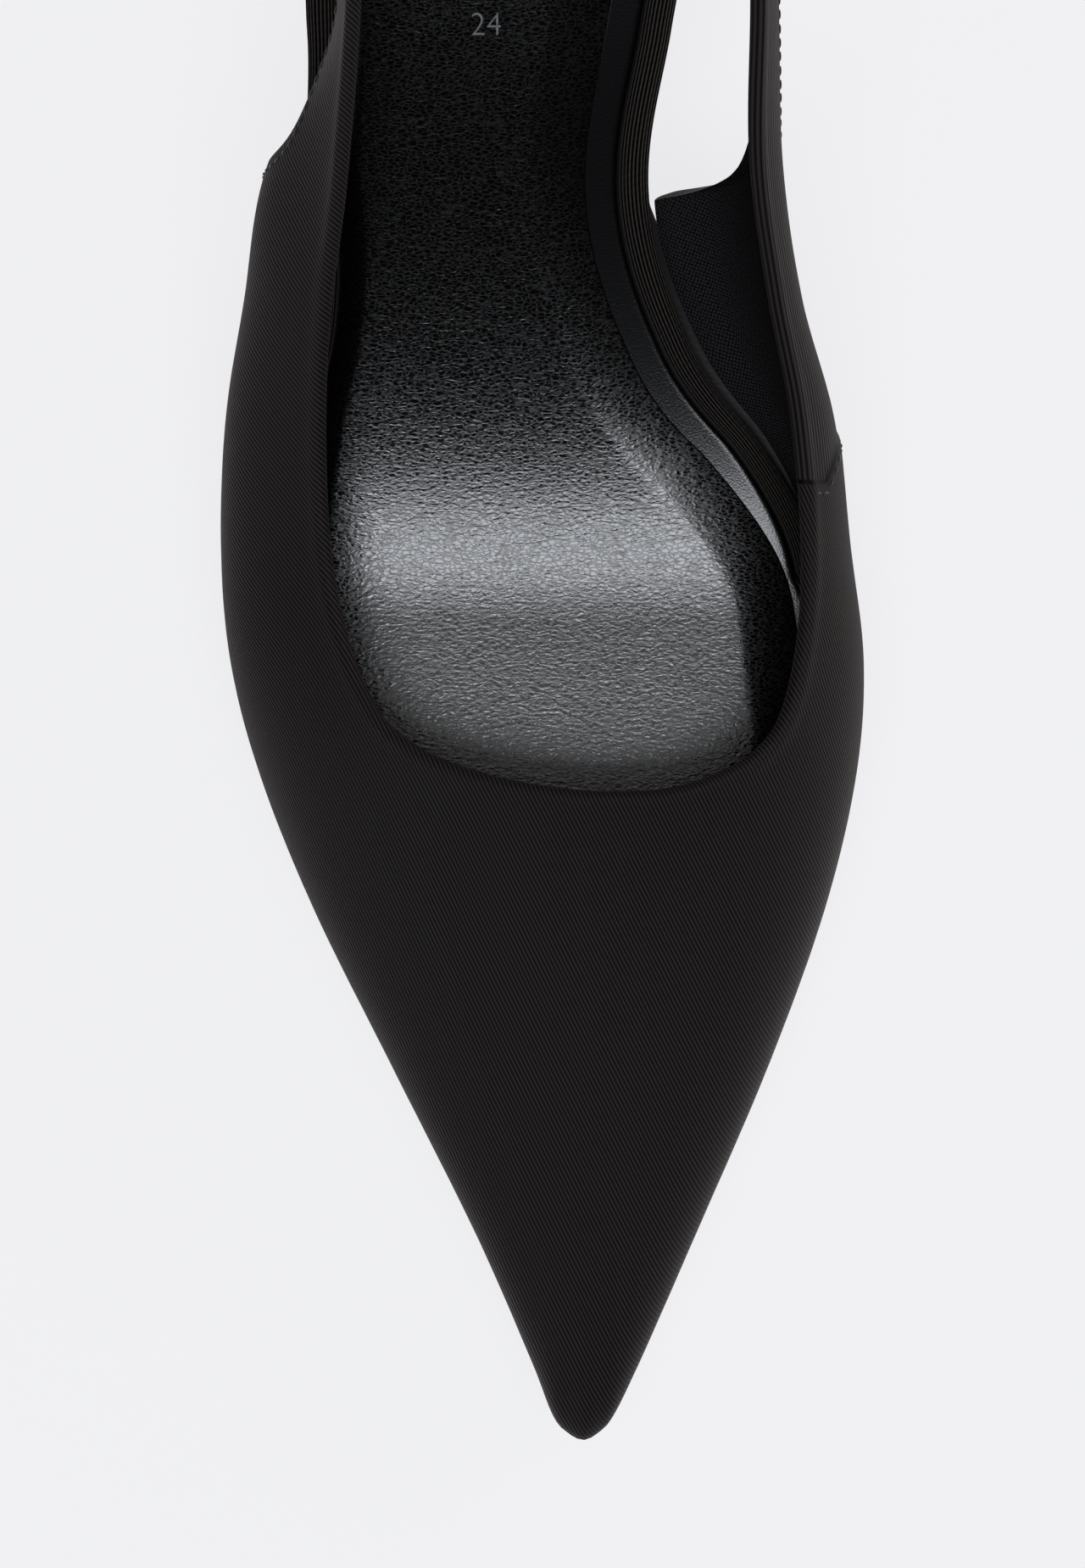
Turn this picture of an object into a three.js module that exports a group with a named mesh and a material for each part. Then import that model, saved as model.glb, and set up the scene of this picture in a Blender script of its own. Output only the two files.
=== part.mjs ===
// A right-foot slingback pump with a sharply pointed toe and a slim covered heel.
// The upper is one faille wall, lasted round the forefoot, that runs on at each side as a
// sling strap round the back of the heel. Under it lie a padded sock, an insole board whose
// bare edge is bound with a ribbed band, a thin outsole, the heel and its top piece.
// Units are millimetres. The toe points to -Y, the medial side is +X and up is +Z.
// Inside the file a station is a distance from the toe tip towards the heel.
import * as THREE from 'three';

// Lengths along the shoe
const shoeLength = 248;
const treadStart = 68;
const treadEnd = 98;
const waistEnd = 200;
const breastStation = 197;

// Breadths and heights of the last
const ballBreadth = 77;
const quarterRise = 36;
const bulgeRise = 10;
const toeSpring = 3.6;
const heelHeight = 59;
const seatSlopeFront = 0.3;
const seatSlopeBack = 0.2;

// Upper
const upperWall = 1.8;
const toeWall = 1.2;
const strapWidth = 12;
const quarterEndRow = 12;
const cutRows = 1;
const cutSweep = 1.2;
const cutRise = 2.2;

// Bottom parts
const gap = 0.3;
const soleThickness = 3;
const waistSoleThickness = 2.2;
const soleEdge = 0.4;
const soleBlend = 12;
const boardThickness = 2.4;
const boardStart = 9;
const boardTaper = 8;
const rimWidth = 3.5;
const rimFrontWidth = 2.4;
const rimTaperEnd = 132;
const rimHeight = 3;
const rimFront = 104;
const rimCrown = 0.35;
const sockThickness = 1.4;
const sockCrown = 0.7;
const sockStart = 24;
const sockBareWidth = 3.6;
const sockBareStart = 80;
const sockBarePeak = 100;
const sockBareEnd = 126;
const lastingFoot = 1.2;

// Heel
const topPieceHeight = 5;
const topPieceWidth = 13;
const topPieceLength = 14;
const topPieceSetback = 13;
const heelLip = 0.06;
const heelWaist = 2.3;

// A row of a table as an object with the table's column names.
function named(columns, row) {
  return Object.fromEntries(columns.map((column, i) => [column, row[i]]));
}

// Sections of the last, from the toe tip to the back of the heel. at is a share of the
// length. outer, the widest point, and tuck, how far the bottom edge lies inside it, are
// shares of the ball breadth. bulge is the widest point's height over the bottom edge, as
// a share of bulgeRise.
const lastColumns = ['at', 'outerLat', 'outerMed', 'tuckLat', 'tuckMed', 'bulgeLat', 'bulgeMed'];
const lastSections = [
  [0.0000, 0.064, 0.064, 0.004, 0.004, 0.55, 0.55],
  [0.0040, 0.038, 0.089, 0.005, 0.005, 0.55, 0.55],
  [0.0125, 0.016, 0.112, 0.008, 0.008, 0.58, 0.58],
  [0.0400, -0.019, 0.155, 0.013, 0.013, 0.63, 0.63],
  [0.1000, -0.104, 0.240, 0.017, 0.017, 0.72, 0.72],
  [0.1800, -0.233, 0.351, 0.021, 0.021, 0.82, 0.82],
  [0.2550, -0.353, 0.438, 0.026, 0.026, 0.90, 0.90],
  [0.3200, -0.437, 0.487, 0.034, 0.036, 0.95, 0.95],
  [0.3750, -0.483, 0.498, 0.044, 0.036, 1.00, 1.05],
  [0.4300, -0.497, 0.476, 0.057, 0.033, 1.10, 1.20],
  [0.4900, -0.487, 0.449, 0.067, 0.098, 1.25, 1.45],
  [0.5450, -0.455, 0.395, 0.068, 0.162, 1.40, 1.90],
  [0.6040, -0.418, 0.362, 0.034, 0.169, 1.45, 2.15],
  [0.6700, -0.313, 0.353, -0.072, 0.131, 1.25, 1.95],
  [0.7450, -0.315, 0.346, -0.068, 0.079, 1.30, 1.85],
  [0.8250, -0.323, 0.330, -0.050, 0.031, 1.50, 1.80],
  [0.9050, -0.314, 0.272, -0.010, 0.002, 1.90, 1.90],
  [0.9680, -0.252, 0.190, -0.002, -0.002, 2.20, 2.20],
  [1.0000, -0.034, -0.034, 0.010, 0.010, 2.30, 2.30],
].map((row) => named(lastColumns, row));

// The collar edge of each section, in the same order. at is a share of the length and edge
// a share of the ball breadth. rise is its height over the bottom edge, as a share of
// quarterRise. slope is the wall's rise over run where it meets the edge, shoulder how far
// the wall goes straight up first and ease how far that last slope reaches.
const collarColumns = [
  'atLat', 'atMed', 'edgeLat', 'edgeMed', 'rise',
  'slopeLat', 'slopeMed', 'shoulder', 'ease',
];
const collarSections = [
  [0.3117, 0.3117, 0.112, 0.112, 0.861, 0.32, 0.32, 0.34, 0.50],
  [0.3117, 0.3117, 0.083, 0.140, 0.861, 0.32, 0.32, 0.34, 0.50],
  [0.3125, 0.3121, 0.049, 0.171, 0.858, 0.33, 0.33, 0.35, 0.50],
  [0.3141, 0.3137, 0.005, 0.205, 0.856, 0.34, 0.34, 0.37, 0.50],
  [0.3173, 0.3169, -0.055, 0.244, 0.847, 0.36, 0.37, 0.40, 0.50],
  [0.3226, 0.3218, -0.119, 0.283, 0.833, 0.40, 0.43, 0.43, 0.48],
  [0.3319, 0.3306, -0.188, 0.329, 0.808, 0.47, 0.55, 0.46, 0.45],
  [0.3488, 0.3480, -0.251, 0.372, 0.778, 0.57, 0.80, 0.50, 0.42],
  [0.3839, 0.3831, -0.302, 0.400, 0.742, 0.66, 1.10, 0.50, 0.38],
  [0.4300, 0.4300, -0.331, 0.408, 0.720, 0.74, 1.35, 0.50, 0.36],
  [0.4900, 0.4900, -0.336, 0.390, 0.740, 0.80, 1.40, 0.50, 0.34],
  [0.5450, 0.5450, -0.323, 0.352, 0.790, 0.95, 1.40, 0.50, 0.33],
  [0.6040, 0.6040, -0.303, 0.323, 0.837, 2.40, 1.50, 0.34, 0.33],
  [0.6700, 0.6700, -0.284, 0.324, 0.865, 2.60, 2.40, 0.42, 0.33],
  [0.7420, 0.7420, -0.282, 0.322, 0.925, 2.80, 2.70, 0.40, 0.33],
  [0.8180, 0.8180, -0.282, 0.298, 1.040, 3.20, 3.20, 0.38, 0.33],
  [0.8920, 0.8920, -0.250, 0.232, 1.160, 3.20, 3.20, 0.36, 0.33],
  [0.9450, 0.9450, -0.186, 0.150, 1.240, 3.20, 3.20, 0.36, 0.33],
  [0.9650, 0.9650, -0.018, -0.018, 1.270, 3.20, 3.20, 0.36, 0.33],
].map((row) => named(collarColumns, row));

const lastRow = lastSections.length - 1;
const loopRows = 2 * lastRow;

// Height of the upper's bottom edge: a flat tread with toe spring ahead of it, a waist that
// climbs to the seat, and a seat that levels off.
function footHeight(station) {
  const treadTop = soleThickness + gap;
  const seatLength = shoeLength - waistEnd;
  const waistTop = treadTop + heelHeight - (seatSlopeFront + seatSlopeBack) / 2 * seatLength;
  if (station < treadStart) return treadTop + toeSpring * ((treadStart - station) / treadStart) ** 2;
  if (station <= treadEnd) return treadTop;
  if (station < waistEnd) {
    const run = waistEnd - treadEnd;
    const t = (station - treadEnd) / run;
    const climb = (3 * t * t - 2 * t ** 3) * (waistTop - treadTop);
    return treadTop + climb + (t ** 3 - t * t) * seatSlopeFront * run;
  }
  const d = station - waistEnd;
  return waistTop + seatSlopeFront * d - (seatSlopeFront - seatSlopeBack) * d * d / (2 * seatLength);
}

// The outsole and the heel end a clearance below the parts that they carry.
function seatHeight(station) {
  return footHeight(station) - gap;
}

// The sections in loop order: the back of the heel, the lateral side, the toe, the medial
// side and round to the back again.
function loopOrder(readRow) {
  const rows = [];
  for (let row = lastRow; row >= 0; row -= 1) rows.push(readRow(row, 'Lat'));
  for (let row = 1; row < lastRow; row += 1) rows.push(readRow(row, 'Med'));
  return new THREE.CatmullRomCurve3(rows, true, 'catmullrom', 0.5);
}

const outerCurve = loopOrder((row, side) => {
  const s = lastSections[row];
  const bulge = s['bulge' + side] * bulgeRise;
  return new THREE.Vector3(s['outer' + side] * ballBreadth, s.at * shoeLength, bulge);
});
const edgeCurve = loopOrder((row, side) => {
  const s = collarSections[row];
  const station = s['at' + side] * shoeLength;
  return new THREE.Vector3(s['edge' + side] * ballBreadth, station, s.rise * quarterRise);
});
const shapeCurve = loopOrder((row, side) => {
  const s = collarSections[row];
  return new THREE.Vector3(lastSections[row]['tuck' + side] * ballBreadth, s['slope' + side], s.shoulder);
});
const easeCurve = loopOrder((row) => new THREE.Vector3(collarSections[row].ease, 0, 0));

function onLoop(curve, u) {
  return curve.getPoint(THREE.MathUtils.euclideanModulo(u, loopRows) / loopRows);
}

// The last's bottom edge at loop position u, moved inwards by inset.
function bottomEdge(u, inset = 0) {
  const step = 0.02;
  const before = onLoop(outerCurve, u - step);
  const after = onLoop(outerCurve, u + step);
  const along = new THREE.Vector2(after.x - before.x, after.y - before.y).normalize();
  const outer = onLoop(outerCurve, u);
  const reach = onLoop(shapeCurve, u).x + inset;
  return new THREE.Vector2(outer.x - along.y * reach, outer.y + along.x * reach);
}

// One rib of the last, from the collar edge down over the widest point to the bottom edge,
// with the distance of each point from the collar.
function rib(u) {
  const upperSteps = 28;
  const lowerSteps = 10;
  const outer = onLoop(outerCurve, u);
  const collar = onLoop(edgeCurve, u);
  const shape = onLoop(shapeCurve, u);
  const ease = onLoop(easeCurve, u).x;
  const foot = bottomEdge(u);
  const footZ = footHeight(foot.y);
  const widest = new THREE.Vector3(outer.x, outer.y, footHeight(outer.y) + outer.z);
  const top = new THREE.Vector3(collar.x, collar.y, footHeight(collar.y) + collar.z);
  const run = new THREE.Vector2(top.x - widest.x, top.y - widest.y);
  const upright = new THREE.Vector3(widest.x, widest.y, widest.z + shape.z * (top.z - widest.z));
  const easing = new THREE.Vector3(
    top.x - ease * run.x,
    top.y - ease * run.y,
    top.z - ease * run.length() * shape.y,
  );
  const wall = new THREE.CubicBezierCurve3(top, easing, upright, widest);
  const points = wall.getPoints(upperSteps);
  for (let step = 1; step <= lowerSteps; step += 1) {
    const angle = Math.PI / 2 * (1 - step / lowerSteps);
    const out = Math.sin(angle);
    const up = 1 - Math.cos(angle);
    points.push(new THREE.Vector3(
      foot.x + (widest.x - foot.x) * out,
      foot.y + (widest.y - foot.y) * out,
      footZ + (widest.z - footZ) * up,
    ));
  }
  const reach = [0];
  for (let i = 1; i < points.length; i += 1) reach.push(reach[i - 1] + points[i].distanceTo(points[i - 1]));
  return { points, reach, depth: reach[reach.length - 1] };
}

// The point of the last's wall that lies drop below the collar at loop position u.
function wallPoint(u, drop) {
  const { points, reach, depth } = rib(u);
  const target = Math.min(drop, depth);
  let i = 1;
  while (i < points.length - 1 && reach[i] < target) i += 1;
  const t = (target - reach[i - 1]) / (reach[i] - reach[i - 1]);
  return points[i - 1].clone().lerp(points[i], t);
}

// The wall's inward direction at a place on it, square to the last.
function wallNormal(u, drop) {
  const along = wallPoint(u + 0.05, drop).sub(wallPoint(u - 0.05, drop));
  const down = wallPoint(u, drop + 0.4).sub(wallPoint(u, drop - 0.4));
  return along.cross(down).normalize();
}

// The upper's lower edge below loop position u: the bottom edge as far back as the end of
// the quarter, then a hollow cut that sweeps up to the strap, then the strap's lower edge.
function lowerEdge(u) {
  const row = Math.abs(u - lastRow);
  const side = Math.sign(u - lastRow);
  const past = row - quarterEndRow;
  if (past <= 0) return { u, drop: rib(u).depth };
  const turn = Math.min(past / cutRows, 1) * Math.PI / 2;
  const sweep = cutRows * (1 - Math.cos(turn)) ** cutSweep + Math.max(past - cutRows, 0);
  const lowU = lastRow + side * (quarterEndRow + sweep);
  const rise = (1 - Math.sin(turn)) ** cutRise;
  return { u: lowU, drop: strapWidth + rise * (rib(lowU).depth - strapWidth) };
}

// Solids
// Joins two grids of points, given as rows[u][v], into one closed solid. Edges that aren't
// closed round get a strip between the two grids.
function solidBetween(outside, inside, closedU) {
  const countU = outside.length;
  const countV = outside[0].length;
  const positions = [];
  for (const grid of [outside, inside]) {
    for (const line of grid) for (const p of line) positions.push(p.x, p.y, p.z);
  }
  const index = (layer, u, v) => layer * countU * countV + (u % countU) * countV + v;
  const faces = [];
  const quad = (a, b, c, d) => faces.push(a, b, c, a, c, d);
  const spansU = closedU ? countU : countU - 1;
  for (let u = 0; u < spansU; u += 1) {
    for (let v = 0; v < countV - 1; v += 1) {
      quad(index(0, u, v), index(0, u + 1, v), index(0, u + 1, v + 1), index(0, u, v + 1));
      quad(index(1, u, v), index(1, u, v + 1), index(1, u + 1, v + 1), index(1, u + 1, v));
    }
    quad(index(0, u + 1, 0), index(0, u, 0), index(1, u, 0), index(1, u + 1, 0));
    const end = countV - 1;
    quad(index(0, u, end), index(0, u + 1, end), index(1, u + 1, end), index(1, u, end));
  }
  if (!closedU) {
    for (let v = 0; v < countV - 1; v += 1) {
      quad(index(0, 0, v), index(0, 0, v + 1), index(1, 0, v + 1), index(1, 0, v));
      const end = countU - 1;
      quad(index(0, end, v + 1), index(0, end, v), index(1, end, v), index(1, end, v + 1));
    }
  }
  return facingOut(positions, faces);
}

// A closed solid through rings of points, with a fan over its first and last ring.
function solidThrough(rings) {
  const count = rings[0].length;
  const positions = [];
  for (const ring of rings) for (const p of ring) positions.push(p.x, p.y, p.z);
  const faces = [];
  for (let r = 0; r < rings.length - 1; r += 1) {
    for (let i = 0; i < count; i += 1) {
      const j = (i + 1) % count;
      const a = r * count + i;
      const b = r * count + j;
      faces.push(a, b, b + count, a, b + count, a + count);
    }
  }
  for (const [r, flip] of [[0, true], [rings.length - 1, false]]) {
    const middle = new THREE.Vector3();
    for (const p of rings[r]) middle.addScaledVector(p, 1 / count);
    const hub = positions.length / 3;
    positions.push(middle.x, middle.y, middle.z);
    for (let i = 0; i < count; i += 1) {
      const a = r * count + i;
      const b = r * count + (i + 1) % count;
      faces.push(...(flip ? [b, a, hub] : [a, b, hub]));
    }
  }
  return facingOut(positions, faces);
}

function facingOut(positions, faces) {
  const corner = (i) => new THREE.Vector3().fromArray(positions, 3 * faces[i]);
  let volume = 0;
  for (let i = 0; i < faces.length; i += 3) volume += corner(i).dot(corner(i + 1).cross(corner(i + 2)));
  if (volume < 0) faces.reverse();
  const geometry = new THREE.BufferGeometry();
  geometry.setAttribute('position', new THREE.Float32BufferAttribute(positions, 3));
  geometry.setIndex(faces);
  geometry.computeVertexNormals();
  return geometry;
}

// Upper
// Loop positions of the upper's ribs, closer together at the two hollow cuts.
function upperRibs() {
  const perRow = 3;
  const perCutRow = 8;
  const half = [];
  for (let i = 0; i < quarterEndRow * perRow; i += 1) half.push(i / perRow);
  for (let i = 0; i < cutRows * perCutRow; i += 1) half.push(quarterEndRow + i / perCutRow);
  const rest = lastRow - quarterEndRow - cutRows;
  const restSteps = Math.round(rest * perRow);
  for (let i = 0; i < restSteps; i += 1) half.push(quarterEndRow + cutRows + rest * i / restSteps);
  const lateral = half.slice(1).reverse().map((row) => lastRow - row);
  return [0, ...lateral, ...half.map((row) => lastRow + row)];
}

function upperGeometry() {
  const wallSteps = 11;
  const outside = [];
  const inside = [];
  for (const u of upperRibs()) {
    const low = lowerEdge(u);
    const outerLine = [];
    const innerLine = [];
    for (let v = 0; v <= wallSteps; v += 1) {
      const share = Math.sin(Math.PI / 2 * v / wallSteps);
      const place = { u: u + (low.u - u) * share, drop: low.drop * share };
      const point = wallPoint(place.u, place.drop);
      const thicker = THREE.MathUtils.smoothstep(point.y, 0, boardStart);
      const wall = THREE.MathUtils.lerp(toeWall, upperWall, thicker);
      outerLine.push(point);
      innerLine.push(point.clone().addScaledVector(wallNormal(place.u, place.drop), wall));
    }
    if (low.u === u) {
      const station = outerLine[wallSteps].y;
      const reach = lastingFoot * THREE.MathUtils.smoothstep(station, rimFront - boardTaper, rimFront);
      const shift = bottomEdge(u, reach).sub(bottomEdge(u));
      innerLine[wallSteps].add(new THREE.Vector3(shift.x, shift.y, 0));
    }
    outside.push(outerLine);
    inside.push(innerLine);
  }
  return solidBetween(outside, inside, true);
}

// Bottom parts
// The loop position between toe and heel where the bottom edge, moved inwards by inset,
// reaches a station.
function edgePosition(station, toe, heel, inset) {
  let near = toe;
  let far = heel;
  for (let i = 0; i < 24; i += 1) {
    const middle = (near + far) / 2;
    if (bottomEdge(middle, inset).y < station) near = middle;
    else far = middle;
  }
  return (near + far) / 2;
}

// The lateral and the medial x at a station where the bottom edge, moved inwards by the
// side's inset, crosses it.
function breadthAt(station, insetOf) {
  return [['Lat', 0], ['Med', loopRows]].map(([side, heel]) => {
    const inset = insetOf(side);
    return bottomEdge(edgePosition(station, lastRow, heel, inset), inset).x;
  });
}

// Stations from start to end, closer together at an end that is rounded.
function stations(start, end, count, roundStart, roundEnd) {
  const list = [];
  for (let i = 0; i <= count; i += 1) {
    const t = i / count;
    const early = roundStart ? 1 - Math.cos(Math.PI / 2 * t) : t;
    const late = roundEnd ? Math.sin(Math.PI / 2 * t) : t;
    const both = (1 - Math.cos(Math.PI * t)) / 2;
    const share = roundStart && roundEnd ? both : roundStart ? early : roundEnd ? late : t;
    list.push(start + (end - start) * share);
  }
  return list;
}

// A plate over the given stations between two heights, with its outline at an inset from
// the bottom edge. Its top may be crowned across.
function plate(list, insetAt, bottomAt, topAt, crown = 0) {
  const across = 6;
  const top = [];
  const bottom = [];
  for (const station of list) {
    const [left, right] = breadthAt(station, (side) => insetAt(station, side));
    const topLine = [];
    const bottomLine = [];
    for (let j = 0; j <= across; j += 1) {
      const x = left + (right - left) * j / across;
      const bow = 1 - (2 * j / across - 1) ** 2;
      topLine.push(new THREE.Vector3(x, station, topAt(station) + crown * bow));
      bottomLine.push(new THREE.Vector3(x, station, bottomAt(station)));
    }
    top.push(topLine);
    bottom.push(bottomLine);
  }
  return solidBetween(top, bottom, false);
}

const rimInset = upperWall + gap;
const seatEdgeInset = rimInset + gap;
const quarterEnd = lastSections[quarterEndRow].at * shoeLength;

function soleInsetAt(station) {
  const blend = THREE.MathUtils.smoothstep(station, quarterEnd - soleBlend, quarterEnd);
  return -soleEdge + (seatEdgeInset + soleEdge) * blend;
}

function outsoleGeometry() {
  const tip = lastSections[0].tuckLat * ballBreadth - soleEdge + 0.05;
  const list = [
    ...stations(tip, treadStart, 14, true, false).slice(0, -1),
    ...stations(treadStart, treadEnd, 5, false, false).slice(0, -1),
    ...stations(treadEnd, breastStation, 18, false, false),
  ];
  const thicknessAt = (station) => {
    const blend = THREE.MathUtils.smoothstep(station, treadEnd, waistEnd);
    return soleThickness + (waistSoleThickness - soleThickness) * blend;
  };
  return plate(list, soleInsetAt, (d) => seatHeight(d) - thicknessAt(d), seatHeight);
}

const seatBack = shoeLength - lastSections[lastRow].tuckLat * ballBreadth;

function rimWidthAt(station) {
  const wider = THREE.MathUtils.smoothstep(station, rimFront, rimTaperEnd);
  return rimFrontWidth + (rimWidth - rimFrontWidth) * wider;
}

function boardGeometry() {
  const end = seatBack - rimInset - rimWidth - gap;
  const list = [
    ...stations(boardStart, rimFront - boardTaper, 10, false, false).slice(0, -1),
    ...stations(rimFront - boardTaper, rimFront - 2 * gap, 3, false, false).slice(0, -1),
    ...stations(rimFront - 2 * gap, waistEnd, 18, false, false).slice(0, -1),
    ...stations(waistEnd, end, 12, false, true),
  ];
  const insetAt = (station) => {
    const taper = (station - rimFront + boardTaper) / (boardTaper - 2 * gap);
    return rimInset + (rimWidthAt(station) + gap) * THREE.MathUtils.clamp(taper, 0, 1);
  };
  return plate(list, insetAt, footHeight, (d) => footHeight(d) + boardThickness);
}

// The ribbed band: a strip of three faces and a crown, from the lateral forefoot round the
// seat to the medial forefoot.
function rimGeometry() {
  const count = 64;
  const start = edgePosition(rimFront, lastRow, 0, rimInset);
  const end = edgePosition(rimFront, lastRow, loopRows, rimInset) - loopRows;
  const profile = [
    { inset: 0, height: 0 },
    { inset: 0, height: 0.78 },
    { inset: 0.25, height: 1 },
    { inset: 0.75, height: 1 },
    { inset: 1, height: 0.86 },
    { inset: 1, height: 0 },
  ];
  const rings = [];
  for (let i = 0; i <= count; i += 1) {
    const u = end + (start - end) * i / count;
    const width = rimWidthAt(bottomEdge(u, rimInset).y);
    rings.push(profile.map(({ inset, height }) => {
      const p = bottomEdge(u, rimInset + inset * width);
      const crown = height === 1 ? rimCrown : 0;
      return new THREE.Vector3(p.x, p.y, footHeight(p.y) + height * rimHeight + crown);
    }));
  }
  return solidThrough(rings);
}

// The sock reaches the band, but for a stretch of the medial side where it bares the board.
function sockGeometry() {
  const end = seatBack - rimInset - rimWidth - gap;
  const list = [
    ...stations(sockStart, waistEnd, 26, true, false).slice(0, -1),
    ...stations(waistEnd, end, 10, false, true),
  ];
  const insetAt = (station, side) => {
    const begun = THREE.MathUtils.smoothstep(station, sockBareStart, sockBarePeak);
    const ended = THREE.MathUtils.smoothstep(station, sockBarePeak, sockBareEnd);
    const bare = side === 'Med' ? sockBareWidth * (1 - ended) : 0;
    return rimInset + gap + (rimWidthAt(station) + bare) * begun;
  };
  const bottomAt = (d) => footHeight(d) + boardThickness + gap;
  return plate(list, insetAt, bottomAt, (d) => bottomAt(d) + sockThickness, sockCrown);
}

// Heel
// A D-shaped outline, flat at the breast and round at the back, as shares: front is along
// the flat edge and turn goes from a front corner round to the back centre.
function heelOutline(place) {
  const frontSteps = 6;
  const roundSteps = 14;
  const points = [];
  for (let i = 0; i < roundSteps; i += 1) points.push(place('Lat', Math.PI / 2 * i / roundSteps));
  for (let i = roundSteps; i > 0; i -= 1) points.push(place('Med', Math.PI / 2 * i / roundSteps));
  const left = place('Lat', 0);
  const right = place('Med', 0);
  for (let i = 0; i < frontSteps; i += 1) points.push(right.clone().lerp(left, i / frontSteps));
  return points;
}

const topPieceFront = seatBack - topPieceSetback - topPieceLength;

function seatOutline() {
  const front = breastStation + gap;
  const back = seatBack - seatEdgeInset;
  return heelOutline((side, turn) => {
    const station = front + (back - front) * Math.sin(turn);
    const x = breadthAt(station, () => seatEdgeInset)[side === 'Lat' ? 0 : 1];
    return new THREE.Vector2(x, station);
  });
}

function topPieceOutline() {
  const centre = lastSections[lastRow].outerLat * ballBreadth;
  return heelOutline((side, turn) => {
    const half = topPieceWidth / 2 * Math.cos(turn) ** 0.8;
    const x = centre + (side === 'Lat' ? -half : half);
    return new THREE.Vector2(x, topPieceFront + topPieceLength * Math.sin(turn));
  });
}

function heelGeometry() {
  const levels = 14;
  const seat = seatOutline();
  const foot = topPieceOutline();
  const bottom = topPieceHeight + gap;
  const rings = [];
  for (let level = 0; level <= levels; level += 1) {
    const k = level / levels;
    const pinch = 1 - (1 - Math.max(0, (k - heelLip) / (1 - heelLip))) ** heelWaist;
    rings.push(seat.map((p, i) => {
      const flat = p.clone().lerp(foot[i], pinch);
      return new THREE.Vector3(flat.x, flat.y, THREE.MathUtils.lerp(seatHeight(p.y), bottom, k));
    }));
  }
  return solidThrough(rings);
}

function topPieceGeometry() {
  const outline = topPieceOutline();
  return solidThrough([0, topPieceHeight].map((z) => outline.map((p) => new THREE.Vector3(p.x, p.y, z))));
}

// Materials
const faille = { color: 0x201d1d, roughness: 0.75, metalness: 0 };
const ribbedFaille = { color: 0x1c1b1a, roughness: 0.7, metalness: 0 };
const smoothLeather = { color: 0x141516, roughness: 0.42, metalness: 0 };
const grainedLeather = { color: 0x121314, roughness: 0.38, metalness: 0 };
const soleRubber = { color: 0x161616, roughness: 0.6, metalness: 0 };

// Assembly
// Stations run from the toe along +Y already, so the parts go in as they are.
const shoe = new THREE.Group();

function addPart(name, geometry, finish) {
  const part = new THREE.Mesh(geometry, new THREE.MeshStandardMaterial(finish));
  part.name = name;
  shoe.add(part);
}

addPart('upper', upperGeometry(), faille);
addPart('outsole', outsoleGeometry(), soleRubber);
addPart('insole_board', boardGeometry(), smoothLeather);
addPart('insole_rim', rimGeometry(), ribbedFaille);
addPart('sock', sockGeometry(), grainedLeather);
addPart('heel', heelGeometry(), faille);
addPart('top_piece', topPieceGeometry(), soleRubber);

const bounds = new THREE.Box3().setFromObject(shoe);
const centre = bounds.getCenter(new THREE.Vector3());
shoe.position.set(-centre.x, -centre.y, -bounds.min.z);

const model = new THREE.Group();
model.add(shoe);

export default model;
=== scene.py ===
"""A right-foot slingback pump: black faille upper, padded sock, ribbed rim and covered heel."""
import math

import bmesh
import bpy
import numpy as np
from bpy.props import FloatProperty, FloatVectorProperty, PointerProperty, StringProperty
from mathutils import Matrix, Vector


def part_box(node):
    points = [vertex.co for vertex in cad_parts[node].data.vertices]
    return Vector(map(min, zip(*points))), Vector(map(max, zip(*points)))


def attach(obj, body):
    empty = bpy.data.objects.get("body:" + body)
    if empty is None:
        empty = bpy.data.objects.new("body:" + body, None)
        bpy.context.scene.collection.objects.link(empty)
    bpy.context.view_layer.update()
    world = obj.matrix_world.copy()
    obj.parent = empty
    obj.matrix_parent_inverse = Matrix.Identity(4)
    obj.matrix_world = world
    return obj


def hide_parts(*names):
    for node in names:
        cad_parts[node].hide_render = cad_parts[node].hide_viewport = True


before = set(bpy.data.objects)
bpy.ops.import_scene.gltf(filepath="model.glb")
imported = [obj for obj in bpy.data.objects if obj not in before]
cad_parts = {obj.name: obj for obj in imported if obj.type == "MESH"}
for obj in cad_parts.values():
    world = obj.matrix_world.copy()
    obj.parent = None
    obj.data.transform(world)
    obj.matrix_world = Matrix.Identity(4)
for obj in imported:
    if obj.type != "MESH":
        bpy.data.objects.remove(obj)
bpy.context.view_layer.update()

bl_info = {
    "name": "Slingback Pump",
    "version": (1, 0, 0),
    "blender": (4, 5, 0),
    "location": "View3D > Sidebar > Pump",
    "description": "Dresses the packed frame of a slingback pump with its cloth, leather and thread",
    "category": "Object",
}

MM = 0.001

# Lengths, breadths and heights of the last and its parts, in millimetres, as in the CAD
SHOE_LENGTH = 248.0
TREAD_START = 68.0
TREAD_END = 98.0
WAIST_END = 200.0
BREAST = 197.0
BALL_BREADTH = 77.0
QUARTER_RISE = 36.0
BULGE_RISE = 10.0
TOE_SPRING = 3.6
HEEL_HEIGHT = 59.0
SEAT_SLOPE_FRONT = 0.3
SEAT_SLOPE_BACK = 0.2
UPPER_WALL = 1.8
TOE_WALL = 1.2
STRAP_WIDTH = 12.0
QUARTER_END_ROW = 12
CUT_ROWS = 1.0
CUT_SWEEP = 1.2
CUT_RISE = 2.2
GAP = 0.3
SOLE_THICKNESS = 3.0
WAIST_SOLE_THICKNESS = 2.2
SOLE_EDGE = 0.4
SOLE_BLEND = 12.0
BOARD_THICKNESS = 2.4
BOARD_START = 9.0
BOARD_TAPER = 8.0
RIM_WIDTH = 3.5
RIM_FRONT_WIDTH = 2.8
RIM_TAPER_END = 150.0
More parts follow.
